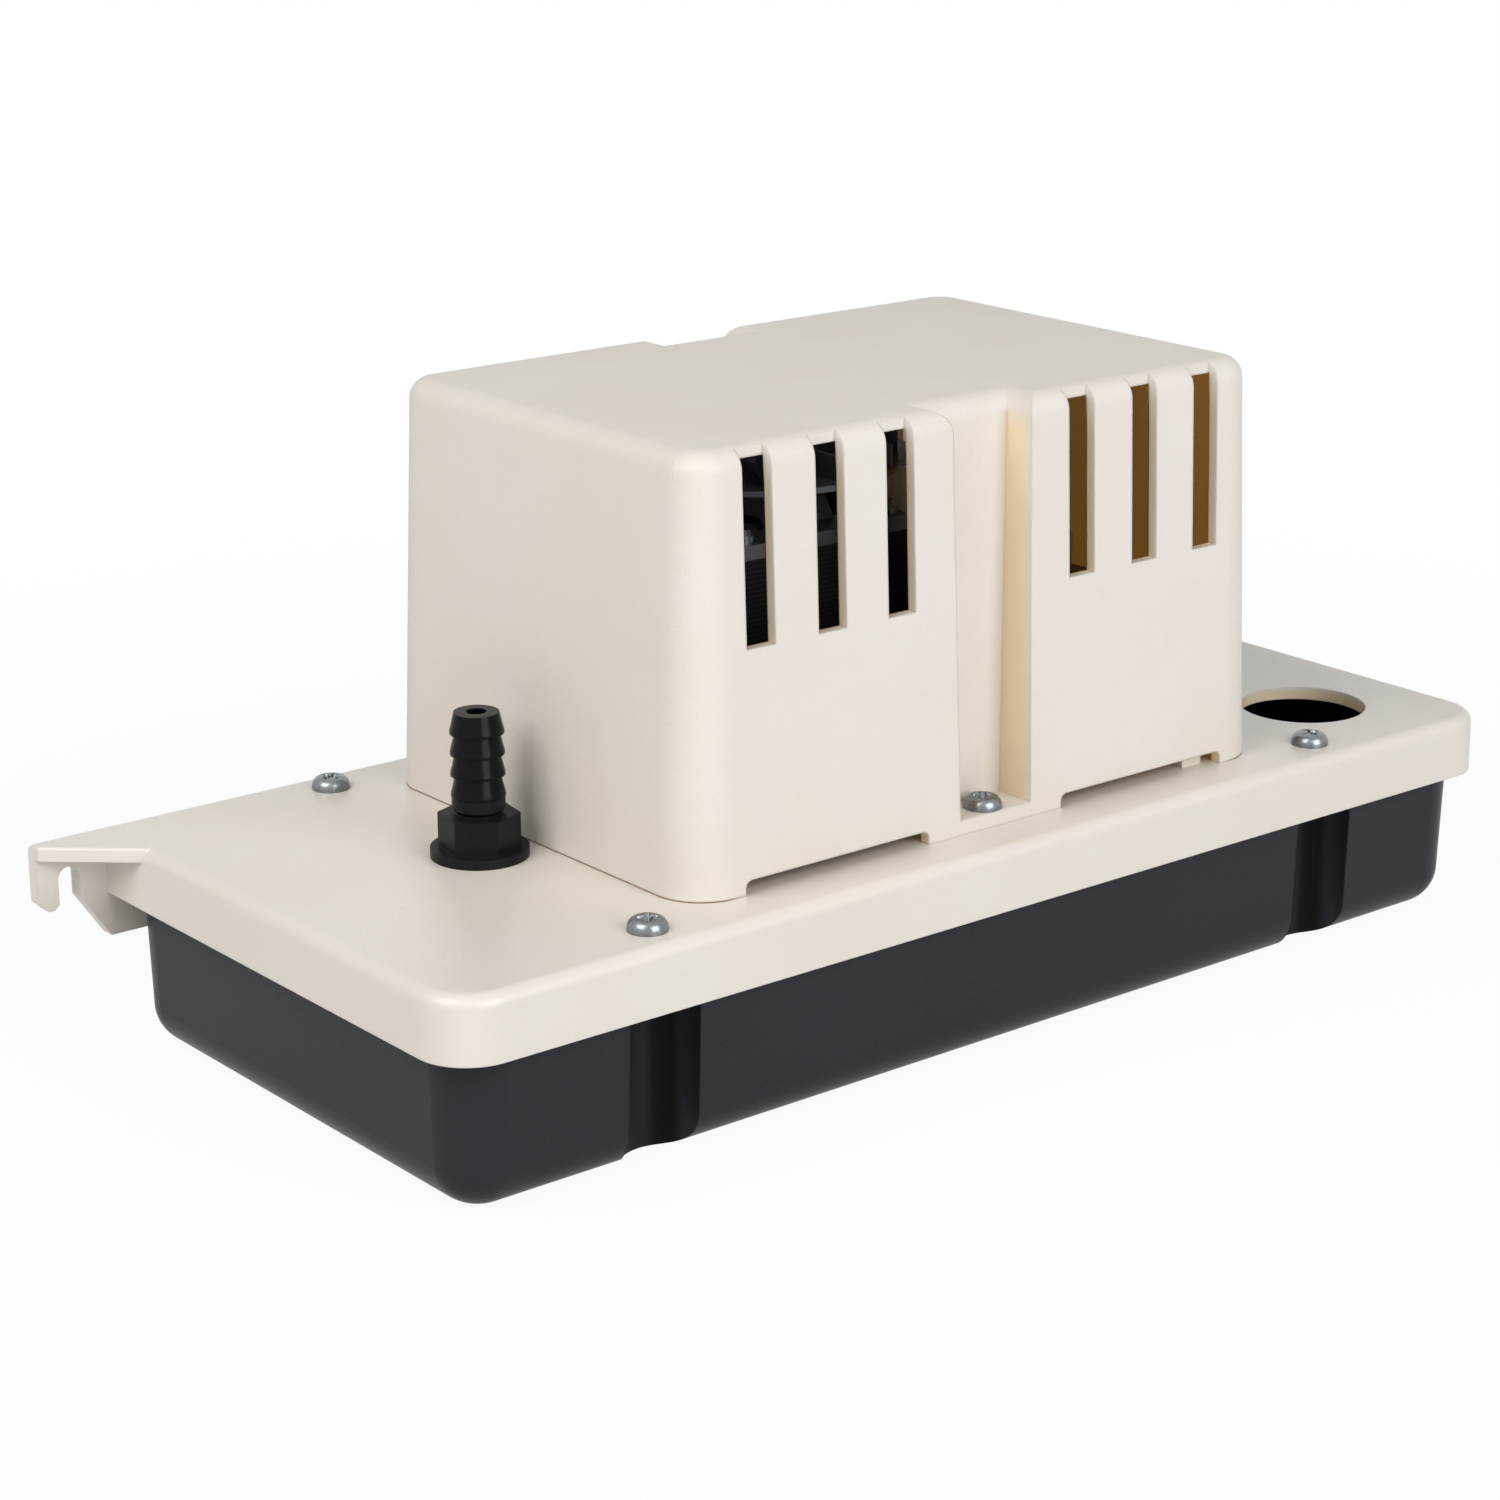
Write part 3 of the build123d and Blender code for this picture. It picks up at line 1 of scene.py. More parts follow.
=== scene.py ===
import bpy
import numpy as np
from mathutils import Matrix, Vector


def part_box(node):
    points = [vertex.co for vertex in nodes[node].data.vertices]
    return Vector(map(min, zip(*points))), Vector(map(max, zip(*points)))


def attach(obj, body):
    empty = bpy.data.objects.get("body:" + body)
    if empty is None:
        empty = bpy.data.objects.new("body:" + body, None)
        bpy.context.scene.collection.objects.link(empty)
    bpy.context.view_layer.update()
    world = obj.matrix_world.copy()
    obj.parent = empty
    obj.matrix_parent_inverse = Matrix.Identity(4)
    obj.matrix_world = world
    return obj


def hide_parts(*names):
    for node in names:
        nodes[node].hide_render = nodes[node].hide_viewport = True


# A condensate pump: a black tank under a cream deck with a vented motor housing, dressed around
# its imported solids. The sections follow the pump as it is put together. Lengths are in metres.
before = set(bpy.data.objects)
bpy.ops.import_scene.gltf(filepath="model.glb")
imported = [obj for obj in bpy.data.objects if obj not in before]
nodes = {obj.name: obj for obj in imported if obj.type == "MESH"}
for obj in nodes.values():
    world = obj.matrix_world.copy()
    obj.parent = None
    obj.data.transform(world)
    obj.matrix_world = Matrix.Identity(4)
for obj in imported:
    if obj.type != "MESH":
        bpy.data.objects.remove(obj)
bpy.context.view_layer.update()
scene = bpy.context.scene
scene.view_settings.view_transform = "Standard"


# Tank: one tub moulded in black ABS with a fine satin grain, rounded at its foot and grooved below
# each deck screw. The mould leaves it slightly uneven in gloss, and painted shade darkens the grooves.
class Socket:
    """A value in a node tree, whose Python operators add Math nodes, so that 1 - mask works."""

    def __init__(self, tree, socket):
        self.tree, self.socket = tree, socket

    def maths(self, operation, *values):
        """A Math node of that operation on these values."""
        return self.tree.node("ShaderNodeMath", {"operation": operation}, dict(enumerate(values)))

    def __add__(self, other):
        return self.maths("ADD", self, other)

    def __radd__(self, other):
        return self.maths("ADD", other, self)

    def __sub__(self, other):
        return self.maths("SUBTRACT", self, other)

    def __rsub__(self, other):
        return self.maths("SUBTRACT", other, self)

    def __mul__(self, other):
        return self.maths("MULTIPLY", self, other)

    def __rmul__(self, other):
        return self.maths("MULTIPLY", other, self)

    def __pow__(self, other):
        return self.maths("POWER", self, other)

    def __lt__(self, other):
        return self.maths("LESS_THAN", self, other)

    def __gt__(self, other):
        return self.maths("GREATER_THAN", self, other)

    def __abs__(self):
        return self.maths("ABSOLUTE", self)

    def most(self, other):
        """The larger of this value and another."""
        return self.maths("MAXIMUM", self, other)

    def step(self, low, high):
        """0 where this value is below low, 1 above high, and a smooth way between."""
        return self.tree.node("ShaderNodeMapRange", {"interpolation_type": "SMOOTHSTEP"},
                              {"Value": self, "From Min": low, "From Max": high})

    def blend(self, first, second):
        """Colour that goes from first to second as this value goes from 0 to 1."""
        return self.tree.node("ShaderNodeMix", {"data_type": "RGBA"},
                              {0: self, 6: first, 7: second}, output=2)


class Tree:
    """A node tree, whose new nodes are all made by one method."""

    def __init__(self, node_tree):
        self.nodes, self.links = node_tree.nodes, node_tree.links

    def node(self, kind, settings, sockets, output=0):
        """One output of a new node of this kind: its settings are made first, then its sockets."""
        made = self.nodes.new(kind)
        for key, value in settings.items():
            setattr(made, key, value)
        for key, value in sockets.items():
            self.plug(made.inputs[key], value)
        return Socket(self, made.outputs[output])

    def plug(self, socket, value):
        """Link a value from another node, or set a plain number or colour."""
        if isinstance(value, Socket):
            self.links.new(value.socket, socket)
        elif socket.type == "RGBA":
            socket.default_value = (*value, 1.0)
        else:
            socket.default_value = value


class Finish(Tree):
    """A material on one Principled shader, with patterns on the piece's own coordinates."""

    def __init__(self, name, **constants):
        self.material = bpy.data.materials.new(name)
        self.material.use_nodes = True
        super().__init__(self.material.node_tree)
        self.shader = self.nodes["Principled BSDF"]
        for key, value in constants.items():
            self.set(key.replace("_", " "), value)
        self.place = self.node("ShaderNodeTexCoord", {}, {}, output="Object")

    def set(self, name, value):
        """Give one of the shader's own sockets its value or link."""
        self.plug(self.shader.inputs[name], value)

    def value(self, name):
        """What feeds one of the shader's sockets now."""
        return Socket(self, self.shader.inputs[name].links[0].from_socket)

    def axis(self, letter):
        """One coordinate of the piece, by its letter."""
        return self.node("ShaderNodeSeparateXYZ", {}, {0: self.place}, output=letter)

    def noise(self, scale, detail=3.0, roughness=0.5):
        """Smooth noise between 0 and 1, with this many grains a metre."""
        return self.node("ShaderNodeTexNoise", {}, {"Vector": self.place, "Scale": scale,
                                                    "Detail": detail, "Roughness": roughness})

    def cells(self, scale):
        """Distance to the nearest of scattered points, of which a metre holds this many."""
        return self.node("ShaderNodeTexVoronoi", {}, {"Vector": self.place, "Scale": scale})

    def rounded(self, radius):
        """Normal that rounds sharp edges by this radius, as a mould does."""
        return self.node("ShaderNodeBevel", {"samples": BEVEL_SAMPLES}, {"Radius": radius})

    def grain(self, height, depth, under=None):
        """Bump of this depth in metres, over another normal if one is given."""
        sockets = {"Strength": BUMP_STRENGTH, "Distance": depth, "Height": height}
        if under is not None:
            sockets["Normal"] = under
        return self.node("ShaderNodeBump", {}, sockets)

    def cover(self, *names):
        """Give this finish to CAD nodes."""
        for name in names:
            nodes[name].data.materials.clear()
            nodes[name].data.materials.append(self.material)


BEVEL_SAMPLES, BUMP_STRENGTH = 6, 0.6
PLASTIC_IOR = 1.50
PATCH_SCALE, TINTED = 28.0, (0.30, 0.72)
PATCH_GLOSS, GRAIN_GLOSS = 0.10, 0.12


def moulded(name, colour, tint, rough, grain_scale, grain_depth, edge, **constants):
    """Moulded plastic: spark-eroded grain, rounded edges, and gloss and colour that drift a little."""
    finish = Finish(name, IOR=PLASTIC_IOR, **constants)
    patches = finish.noise(PATCH_SCALE, detail=4.0, roughness=0.6)
    fine = finish.noise(grain_scale, detail=2.0, roughness=0.6)
    finish.set("Base Color", patches.step(*TINTED).blend(colour, tint))
    finish.set("Roughness", rough + (patches - 0.5) * PATCH_GLOSS + (fine - 0.5) * GRAIN_GLOSS)
    finish.set("Normal", finish.grain(fine, grain_depth, under=finish.rounded(edge)))
    return finish


def flat_length(x, y):
    """Length of the flat vector (x, y)."""
    return (x * x + y * y) ** 0.5


# A mask that follows an edge reaches past it by the margin. One that fades has a pair of values,
# between which it comes in or goes out. The groove's pairs lie to the right of its axis.
MARGIN = 0.0003
GROOVE_X, GROOVE_Y = 0.0900, 0.0586
GROOVE_RADIUS, GROOVE_TOP = 0.0083, 0.0333
SHADE_COLOUR, SHADE_DULLING = (0.0008, 0.0008, 0.0012), 0.40
LEFT_SHADE = 0.45
SHADE_DEEPENS = (0.0015, 0.0038)
SHADE_ENDS = (0.0060, 0.0080)
tank_plastic = moulded("tank_plastic", (0.0235, 0.0225, 0.0295), (0.0260, 0.0248, 0.0325), rough=0.30,
                       grain_scale=1500.0, grain_depth=0.00003, edge=0.0005, Specular_IOR_Level=0.15)
x, y, z = map(tank_plastic.axis, "XYZ")
from_axis = flat_length(abs(x) - GROOVE_X, abs(y) - GROOVE_Y)
in_groove = (from_axis < GROOVE_RADIUS + MARGIN) * (z < GROOVE_TOP + MARGIN)
right_of_axis = x - ((x > 0.0) * (2 * GROOVE_X) - GROOVE_X)
# Painted shade in each groove: partial left of its axis, whole from 3.8 mm right of it, gone by 8 mm.
shade = (in_groove * (LEFT_SHADE + right_of_axis.step(*SHADE_DEEPENS) * (1 - LEFT_SHADE))
         * (1 - right_of_axis.step(*SHADE_ENDS)))
tank_plastic.set("Base Color", shade.blend(tank_plastic.value("Base Color"), SHADE_COLOUR))
tank_plastic.set("Roughness", tank_plastic.value("Roughness") + shade * SHADE_DULLING)
tank_plastic.cover("tank")

# Deck: the cover of the tank, moulded with its skirt and ears in cream ABS and held by four screws.
# Its top is a little glossier than the grained housing, and the inlet's wall is painted a warm shade.
CREAM = (0.778, 0.733, 0.677)
CREAM_WARM = (0.764, 0.709, 0.640)
# Warm painted shade, used on the inlet's wall and on the housing's sunk faces.
WARM_SHADE = (0.800, 0.650, 0.460)
# The housing stands on the deck's top.
housing_low, housing_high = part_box("motor_housing")
DECK_TOP = housing_low.z
INLET_X, INLET_Y, INLET_RADIUS = 0.1103, -0.0336, 0.0140
INLET_SHADE = (DECK_TOP - 0.0015, DECK_TOP - 0.0001)
deck_plastic = moulded("deck_plastic", CREAM, CREAM_WARM, rough=0.31,
                       grain_scale=1300.0, grain_depth=0.00004, edge=0.0004)
x, y, z = map(deck_plastic.axis, "XYZ")
# Painted warm shade on the inlet's wall below the deck's top.
from_inlet = flat_length(x - INLET_X, y - INLET_Y)
in_inlet = (from_inlet < INLET_RADIUS + MARGIN) * (1 - z.step(*INLET_SHADE))
deck_plastic.set("Base Color", in_inlet.blend(deck_plastic.value("Base Color"), WARM_SHADE))
deck_plastic.cover("deck")

# Housing: the drafted motor cover, moulded in the same cream ABS with a coarser spark grain and held
# by a screw front and back. Its inner walls are painted dark brown as shade, warmer at the right end as
# light through the wall, and what is sunk in its slots and channels is painted a tan shade. Both also
# glow a little as painted light, and a brown seam is painted as shade where its ends meet the deck.
CORNER, WALL = 0.0105, 0.0025
LEAN = 0.0393
CORNER_X, CORNER_Y = housing_high.x - CORNER, housing_high.y - CORNER
CEILING = housing_high.z - WALL
EDGE_ROUND = (CEILING - 0.0055, CEILING)
SLOT_TOP, SLOT_END_Y = CEILING + 0.0005, 0.0457
CHANNEL_X, CHANNEL_CLEAR_X, CHANNEL_BACK_Y = 0.0113, 0.0094, 0.0404
INNER_FACE = (WALL - 0.0004, WALL - 0.0001)
SUNK = (0.0002, WALL + 0.0001)
FOOT_GAP_TOP = 0.0490
RIGHT_END = (0.055, 0.072)
FARTHER_BACK = (-0.045, 0.012)
SEAM_HEIGHT = (DECK_TOP + 0.0001, DECK_TOP + 0.0005)
SEAM_ENDS = (0.0640, 0.0700)
# Painted shade in the seam where the housing's ends meet the deck.
SEAM_SHADE = (0.330, 0.220, 0.130)
# Painted shade on the inner walls, and warm painted light through the right end's wall.
INSIDE_SHADE, INSIDE_END_WARM_SHADE = (0.030, 0.018, 0.010), (0.450, 0.270, 0.100)
# Painted light: a glow on the sunk faces and the inner walls, warmest inside the right end.
NO_GLOW = (0.0, 0.0, 0.0)
SLOT_GLOW, CHANNEL_GLOW = (0.120, 0.078, 0.024), (0.048, 0.042, 0.030)
INSIDE_GLOW = (0.007, 0.004, 0.002)
END_GLOW_IN_FRONT, END_GLOW_BEHIND = (0.122, 0.057, 0.012), (0.082, 0.037, 0.005)
housing_plastic = moulded("housing_plastic", CREAM, CREAM_WARM, rough=0.52,
                          grain_scale=1300.0, grain_depth=0.00016, edge=0.0008)
x, y, height = map(housing_plastic.axis, "XYZ")
along, across = abs(x), abs(y)
from_corner = flat_length((along - CORNER_X).most(0.0), (across - CORNER_Y).most(0.0))
depth = CORNER - (height - DECK_TOP) * LEAN - from_corner
in_channel = (along < CHANNEL_X) * (across > CHANNEL_BACK_Y)
in_slot_top = (across < SLOT_END_Y) * (height < SLOT_TOP) * (along > CHANNEL_X)
walls = (1 - height.step(*EDGE_ROUND)).most(in_slot_top)
inner = depth.step(*INNER_FACE) * (1 - in_channel) * walls * (height > FOOT_GAP_TOP)
# Sunk faces in the slots and channels, which get the painted tan shade.
recess = depth.step(*SUNK) * walls * (1 - in_channel * (along < CHANNEL_CLEAR_X))
end_wall = x.step(*RIGHT_END)
# Painted shade along the seam, on the housing's lowest half-millimetre near its ends.
seam = (1 - height.step(*SEAM_HEIGHT)) * along.step(*SEAM_ENDS)
outside = seam.blend(recess.blend(housing_plastic.value("Base Color"), WARM_SHADE), SEAM_SHADE)
# The inner walls: painted shade, warmer where painted light comes through the right end.
inside = end_wall.blend(INSIDE_SHADE, INSIDE_END_WARM_SHADE)
housing_plastic.set("Base Color", inner.blend(outside, inside))
# Painted light: the sunk faces and the inner walls glow, though nothing there is a lamp.
bounce = recess.blend(NO_GLOW, in_channel.blend(SLOT_GLOW, CHANNEL_GLOW))
end_glow = y.step(*FARTHER_BACK).blend(END_GLOW_IN_FRONT, END_GLOW_BEHIND)
through = end_wall.blend(INSIDE_GLOW, end_glow)
housing_plastic.set("Emission Color", inner.blend(bounce, through))
housing_plastic.set("Emission Strength", 1.0)
housing_plastic.cover("motor_housing")


# Screws: bright zinc. The four in the deck and the two in the housing's channels have pan heads, domed
# over a short side and struck with a cross recess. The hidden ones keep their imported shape.
def metal(name, colour, tint, scale, rough, spread, fine, pattern=Finish.noise, metallic=1.0):
    """Bare metal: a pattern between two colours, and fine roughness that spreads up from its least."""
    finish = Finish(name, Metallic=metallic)
    finish.set("Base Color", pattern(finish, scale).blend(colour, tint))
    finish.set("Roughness", rough + finish.noise(fine) * spread)
    return finish


zinc = metal("bright_zinc", (0.28, 0.30, 0.31), (0.16, 0.18, 0.19), 900.0,
             rough=0.20, spread=0.16, fine=2600.0)
zinc.set("Normal", zinc.grain(zinc.noise(3200.0), 0.00002))
zinc.cover("deck_screws", "housing_screws", "pump_screws", "cover_screws", "motor_screws",
           "bracket_screws", "switch_screws")

# A screw's own sizes are in millimetres.
MM = 0.001
HEAD_RADIUS, HEAD_HEIGHT = 4.0, 2.6
SHANK_RADIUS, TIP_RADIUS, TIP_LENGTH = 2.1, 0.3, 1.5
RECESS_DEPTH = 1.5
ARM_HALF_WIDTH, ARM_FLANK = 0.72, 0.3
ARM_REACH, ARM_RAMP = 2.2, 1.3
POINTS_AROUND, RINGS_OVER_HEAD = 120, 45


def cross_recess(x, y):
    """Depth of the recess: the larger of arm(x, y) and arm(y, x). arm(u, v) is the full depth times
    (half width - |v|) / flank and times (reach - |u|) / ramp, each kept between 0 and 1."""
    def arm(u, v):
        share_across = np.clip((ARM_HALF_WIDTH - abs(v)) / ARM_FLANK, 0, 1)
        share_along = np.clip((ARM_REACH - abs(u)) / ARM_RAMP, 0, 1)
        return RECESS_DEPTH * share_across * share_along
    return np.maximum(arm(x, y), arm(y, x))


def pan_screws(name, node, seats, length, turns):
    """Screws made of rings of points. The head is z = h (1 - s^5)^(1/2) for s = r / R, less the recess,
    and a shank and a short cone hang from it. Each recess is turned about its screw's axis."""
    share = np.sin(np.linspace(0, np.pi / 2, RINGS_OVER_HEAD + 1))[1:]
    radii = np.append(HEAD_RADIUS * share, (SHANK_RADIUS, SHANK_RADIUS, TIP_RADIUS))
    levels = np.append(HEAD_HEIGHT * (1 - share ** 5) ** 0.5, (0.0, TIP_LENGTH - length, -length))
    struck = np.arange(len(radii)) < RINGS_OVER_HEAD - 1
    angles = np.linspace(0, 2 * np.pi, POINTS_AROUND, endpoint=False)
    x, y = np.outer(radii, np.cos(angles)), np.outer(radii, np.sin(angles))
    rings = 1 + np.arange(x.size).reshape(x.shape)
    ahead = np.roll(rings, -1, axis=1)
    crown = np.stack([0 * rings[0], rings[0], ahead[0]], axis=-1)
    sides = np.stack([rings[:-1], rings[1:], ahead[1:], ahead[:-1]], axis=-1).reshape(-1, 4)
    points, faces = [], []
    for seat, turn in zip(seats, turns):
        first = len(points)
        recess = cross_recess(x * np.cos(turn) - y * np.sin(turn), x * np.sin(turn) + y * np.cos(turn))
        z = levels[:, None] - struck[:, None] * recess
        middle = (0.0, 0.0, HEAD_HEIGHT - RECESS_DEPTH)
        screw = np.vstack([middle, np.stack([x, y, z], axis=-1).reshape(-1, 3)])
        points += (np.array(seat) + screw * MM).tolist()
        faces += [*(crown + first).tolist(), *(sides + first).tolist(), (rings[-1] + first).tolist()]
    mesh = bpy.data.meshes.new(name)
    mesh.from_pydata(points, [], faces)
    mesh.polygons.foreach_set("use_smooth", [True] * len(mesh.polygons))
    mesh.materials.append(zinc.material)
    piece = bpy.data.objects.new(name, mesh)
    scene.collection.objects.link(piece)
    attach(piece, "case")
    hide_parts(node)


SCREW_X, SCREW_Y = GROOVE_X, 0.0542
CHANNEL_FLOOR, CHANNEL_SCREW_Y = DECK_TOP + 0.0031, 0.0477
deck_seats = [(x, y, DECK_TOP) for x in (-SCREW_X, SCREW_X) for y in (-SCREW_Y, SCREW_Y)]
pan_screws("deck_screw_set", "deck_screws", deck_seats, length=10.2, turns=(0.5, 1.3, 0.2, 0.9))
channel_seats = [(0.0, y, CHANNEL_FLOOR) for y in (-CHANNEL_SCREW_Y, CHANNEL_SCREW_Y)]
pan_screws("housing_screw_set", "housing_screws", channel_seats, length=6.1, turns=(0.8, 0.3))

# Outlet fitting: hose barb, hexagon and flange in one piece of near-black glass-filled nylon, whose
# shank goes through the deck. The barbs come out of the mould darker and glossier.
BARBS_BEGIN = (0.0577, 0.0580)
BARB_COLOUR, BARB_POLISH = (0.0032, 0.0028, 0.0036), 0.20
nylon = moulded("black_nylon", (0.0085, 0.0075, 0.0072), (0.0105, 0.0092, 0.0088), rough=0.42,
                grain_scale=1800.0, grain_depth=0.00003, edge=0.0003, Specular_IOR_Level=0.12)
barbs = nylon.axis("Z").step(*BARBS_BEGIN)
nylon.set("Base Color", barbs.blend(nylon.value("Base Color"), BARB_COLOUR))
nylon.set("Roughness", nylon.value("Roughness") - barbs * BARB_POLISH)
nylon.cover("outlet_fitting")

# Pump: casing, suction cover and valve body in plain black moulded plastic, hung under the deck. The
# tube to the outlet is soft vinyl, and the gasket, the check ball and the slinger are rubber.
pump_plastic = moulded("pump_plastic", (0.030, 0.030, 0.033), (0.036, 0.036, 0.038), rough=0.42,
                       grain_scale=1500.0, grain_depth=0.00003, edge=0.0004)
pump_plastic.cover("pump_casing", "suction_cover", "valve_body")
vinyl = moulded("tube_vinyl", (0.55, 0.56, 0.54), (0.50, 0.51, 0.47), rough=0.25,
                grain_scale=400.0, grain_depth=0.00001, edge=0.0003)
vinyl.cover("discharge_tube")
rubber = moulded("seal_rubber", (0.026, 0.026, 0.026), (0.034, 0.034, 0.033), rough=0.62,
                 grain_scale=1800.0, grain_depth=0.00003, edge=0.0003)
rubber.cover("valve_gasket", "check_ball", "water_slinger")

# Motor: a stack of varnished steel laminations with a taped coil and two copper rings, held between
# cast brackets by long screws. A ground shaft carries the rotor in sintered bronze bushes.
laminations = Finish("lamination_steel", Metallic=0.6)
sheets = laminations.node("ShaderNodeTexWave", {"wave_type": "BANDS", "bands_direction": "Z"},
                          {"Vector": laminations.place, "Scale": 320.0, "Distortion": 0.4})
laminations.set("Base Color", sheets.blend((0.010, 0.010, 0.012), (0.024, 0.022, 0.021)))
laminations.set("Roughness", 0.42 + laminations.noise(500.0) * 0.25)
laminations.set("Normal", laminations.grain(sheets, 0.00003))
laminations.cover("stator_stack")
rotor_steel = metal("rotor_steel", (0.12, 0.12, 0.125), (0.22, 0.22, 0.22), 300.0,
                    rough=0.35, spread=0.2, fine=800.0, metallic=0.8)
rotor_steel.cover("rotor_core")
copper = metal("copper", (0.72, 0.34, 0.17), (0.45, 0.20, 0.10), 260.0,
               rough=0.28, spread=0.2, fine=900.0)
copper.cover("shading_rings")
tape = moulded("coil_tape", (0.022, 0.022, 0.026), (0.034, 0.033, 0.036), rough=0.45,
               grain_scale=700.0, grain_depth=0.00006, edge=0.0003)
tape.cover("coil_winding")
bobbin = moulded("bobbin_nylon", (0.55, 0.42, 0.24), (0.60, 0.47, 0.28), rough=0.40,
                 grain_scale=900.0, grain_depth=0.00003, edge=0.0003)
bobbin.cover("coil_bobbin")
casting = metal("cast_metal", (0.30, 0.31, 0.32), (0.20, 0.21, 0.22), 240.0,
                rough=0.38, spread=0.2, fine=700.0)
casting.set("Normal", casting.grain(casting.noise(1200.0), 0.00006, under=casting.rounded(0.0004)))
casting.cover("upper_bracket", "lower_bracket")
bronze = metal("sintered_bronze", (0.50, 0.34, 0.17), (0.34, 0.22, 0.11), 2600.0,
               rough=0.40, spread=0.2, fine=1500.0, pattern=Finish.cells)
bronze.cover("upper_bearing", "lower_bearing")
steel = metal("ground_steel", (0.60, 0.60, 0.61), (0.50, 0.50, 0.51), 500.0,
              rough=0.16, spread=0.14, fine=1800.0)
steel.cover("motor_shaft", "float_pin")
fibre = moulded("washer_fibre", (0.40, 0.22, 0.11), (0.46, 0.27, 0.14), rough=0.6,
                grain_scale=1500.0, grain_depth=0.00004, edge=0.0001)
fibre.cover("thrust_washers")

# Fan: one grey-blue moulding pressed on the top of the shaft. The impeller at the shaft's foot, the
# float's arm and the push rod are moulded in off-white acetal.
fan_plastic = moulded("fan_plastic", (0.140, 0.155, 0.185), (0.115, 0.130, 0.160), rough=0.36,
                      grain_scale=900.0, grain_depth=0.00003, edge=0.0003)
fan_plastic.cover("cooling_fan")
acetal = moulded("acetal", (0.76, 0.75, 0.70), (0.70, 0.69, 0.63), rough=0.35,
                 grain_scale=900.0, grain_depth=0.00002, edge=0.0003)
acetal.cover("impeller", "float_arm", "switch_rod")

# Float and switches: a white welded float lifts the rod, which works two snap switches in phenolic
# cases on a zinc-plated bracket. Their levers are spring steel over red buttons, their terminals brass.
float_plastic = moulded("float_plastic", (0.74, 0.74, 0.71), (0.68, 0.68, 0.64), rough=0.45,
                        grain_scale=700.0, grain_depth=0.00004, edge=0.0005)
float_plastic.cover("float_block")
phenolic = moulded("switch_case", (0.028, 0.028, 0.030), (0.040, 0.038, 0.038), rough=0.40,
                   grain_scale=1500.0, grain_depth=0.00003, edge=0.0003)
phenolic.cover("run_switch", "safety_switch")
sheet_zinc = metal("zinc_sheet", (0.58, 0.59, 0.58), (0.48, 0.49, 0.48), 300.0,
                   rough=0.30, spread=0.2, fine=500.0, pattern=Finish.cells)
sheet_zinc.cover("switch_bracket")
spring = metal("spring_steel", (0.55, 0.55, 0.54), (0.45, 0.45, 0.44), 600.0,
               rough=0.22, spread=0.15, fine=1500.0)
spring.cover("run_lever", "safety_lever")
button = moulded("button_plastic", (0.50, 0.045, 0.03), (0.44, 0.04, 0.03), rough=0.35,
                 grain_scale=1500.0, grain_depth=0.00002, edge=0.0002)
button.cover("run_button", "safety_button")
brass = metal("terminal_brass", (0.66, 0.50, 0.24), (0.52, 0.38, 0.17), 500.0,
              rough=0.26, spread=0.15, fine=1500.0)
brass.cover("switch_terminals")

# Studio: a sky that the camera and reflections see as white, though it lights the pump much less,
# and a floor that the camera sees as nearly white, with the pump's soft shadow kept on it.
WHITE = (1.0, 1.0, 1.0)
SKY_LEVEL = 0.20
world = bpy.data.worlds.new("studio")
scene.world = world
world.use_nodes = True
sky = Tree(world.node_tree)
lighting = sky.nodes["Background"]
sky.plug(lighting.inputs["Color"], WHITE)
sky.plug(lighting.inputs["Strength"], SKY_LEVEL)
shown = sky.node("ShaderNodeBackground", {}, {"Color": WHITE})
seen = sky.node("ShaderNodeLightPath", {}, {}, output="Is Camera Ray")
for output in ("Is Glossy Ray", "Is Transmission Ray"):
    seen = seen.most(sky.node("ShaderNodeLightPath", {}, {}, output=output))
choice = sky.node("ShaderNodeMixShader", {}, {0: seen, 1: Socket(sky, lighting.outputs[0]), 2: shown})
sky.plug(sky.nodes["World Output"].inputs["Surface"], choice)

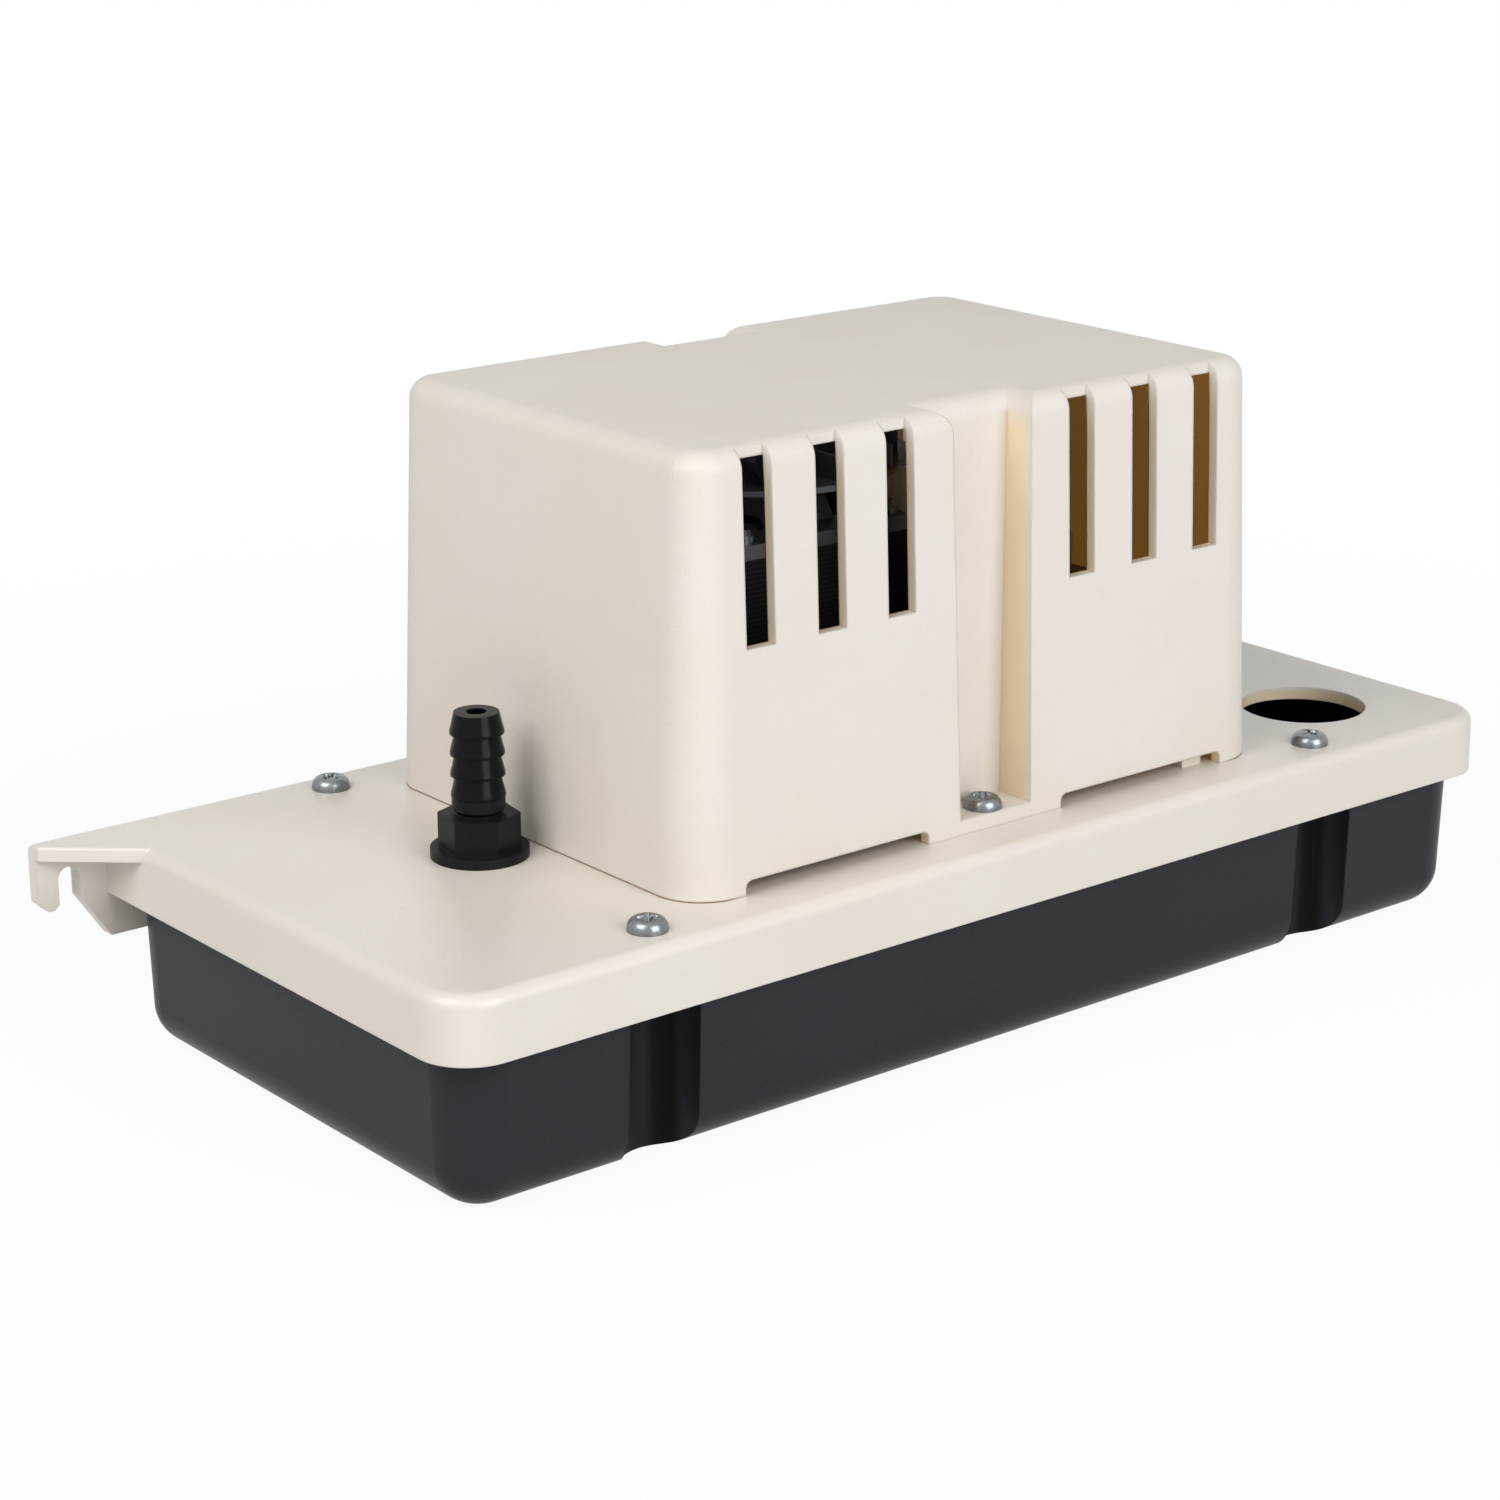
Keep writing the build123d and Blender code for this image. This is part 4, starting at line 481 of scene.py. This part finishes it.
FLOOR_REACH, FLOOR_GREY = 3.0, (0.84, 0.84, 0.84)
WHITE_NEAR_PUMP, WHITE_IN_REFLECTIONS = 0.93, 0.45
WHOLLY_WHITE = (0.12, 0.45)
corners = [(x * FLOOR_REACH, y * FLOOR_REACH, 0.0) for x, y in ((-1, -1), (1, -1), (1, 1), (-1, 1))]
floor_mesh = bpy.data.meshes.new("studio_floor")
floor_mesh.from_pydata(corners, [], [(0, 1, 2, 3)])
floor = bpy.data.objects.new("studio_floor", floor_mesh)
scene.collection.objects.link(floor)
floor_paint = Finish("floor_paint", Roughness=1.0, Specular_IOR_Level=0.0)
floor_paint.set("Base Color", FLOOR_GREY)
x, y = map(floor_paint.axis, "XY")
whiteness = WHITE_NEAR_PUMP + flat_length(x, y).step(*WHOLLY_WHITE) * (1 - WHITE_NEAR_PUMP)
to_camera = floor_paint.node("ShaderNodeLightPath", {}, {}, output="Is Camera Ray")
to_gloss = floor_paint.node("ShaderNodeLightPath", {}, {}, output="Is Glossy Ray")
painted = Socket(floor_paint, floor_paint.shader.outputs[0])
white = floor_paint.node("ShaderNodeEmission", {}, {"Color": WHITE})
share = to_camera * whiteness + to_gloss * WHITE_IN_REFLECTIONS
mixed = floor_paint.node("ShaderNodeMixShader", {}, {0: share, 1: painted, 2: white})
floor_paint.plug(floor_paint.nodes["Material Output"].inputs["Surface"], mixed)
floor_mesh.materials.append(floor_paint.material)


# Lamps: a soft box in front and a warmer one to the left, both above the pump.
def lamp(name, place, aim, size, power, colour):
    """Soft square lamp at a place, facing the point it aims at."""
    light = bpy.data.lights.new(name, "AREA")
    light.shape, light.size, light.energy, light.color = "SQUARE", size, power, colour
    made = bpy.data.objects.new(name, light)
    back = np.subtract(place, aim)
    back /= np.linalg.norm(back)
    side = np.cross((0, 0, 1), back)
    side /= np.linalg.norm(side)
    turned = np.eye(4)
    turned[:3] = np.column_stack([side, np.cross(back, side), back, place])
    made.matrix_world = Matrix(turned)
    scene.collection.objects.link(made)


lamp("front_box", place=(0.10, -1.20, 0.60), aim=(0.0, 0.0, 0.06),
     size=0.9, power=10.4, colour=(0.985, 0.995, 1.0))
lamp("left_box", place=(-0.86, -0.10, 0.84), aim=(-0.06, 0.0, 0.06),
     size=0.8, power=8.0, colour=(1.0, 0.990, 0.958))

# Camera: off the pump's front left corner, looking a little down on it through a long lens.
camera_data = bpy.data.cameras.new("camera")
camera_data.sensor_width = 36.0
camera_data.lens = 83.54
camera = bpy.data.objects.new("camera", camera_data)
camera.matrix_world = Matrix((
    (0.77685, 0.19280, -0.59945, -0.45519),
    (-0.62968, 0.23468, -0.74056, -0.53560),
    (-0.00210, 0.95276, 0.30371, 0.27285),
    (0.0, 0.0, 0.0, 1.0),
))
scene.collection.objects.link(camera)
scene.camera = camera
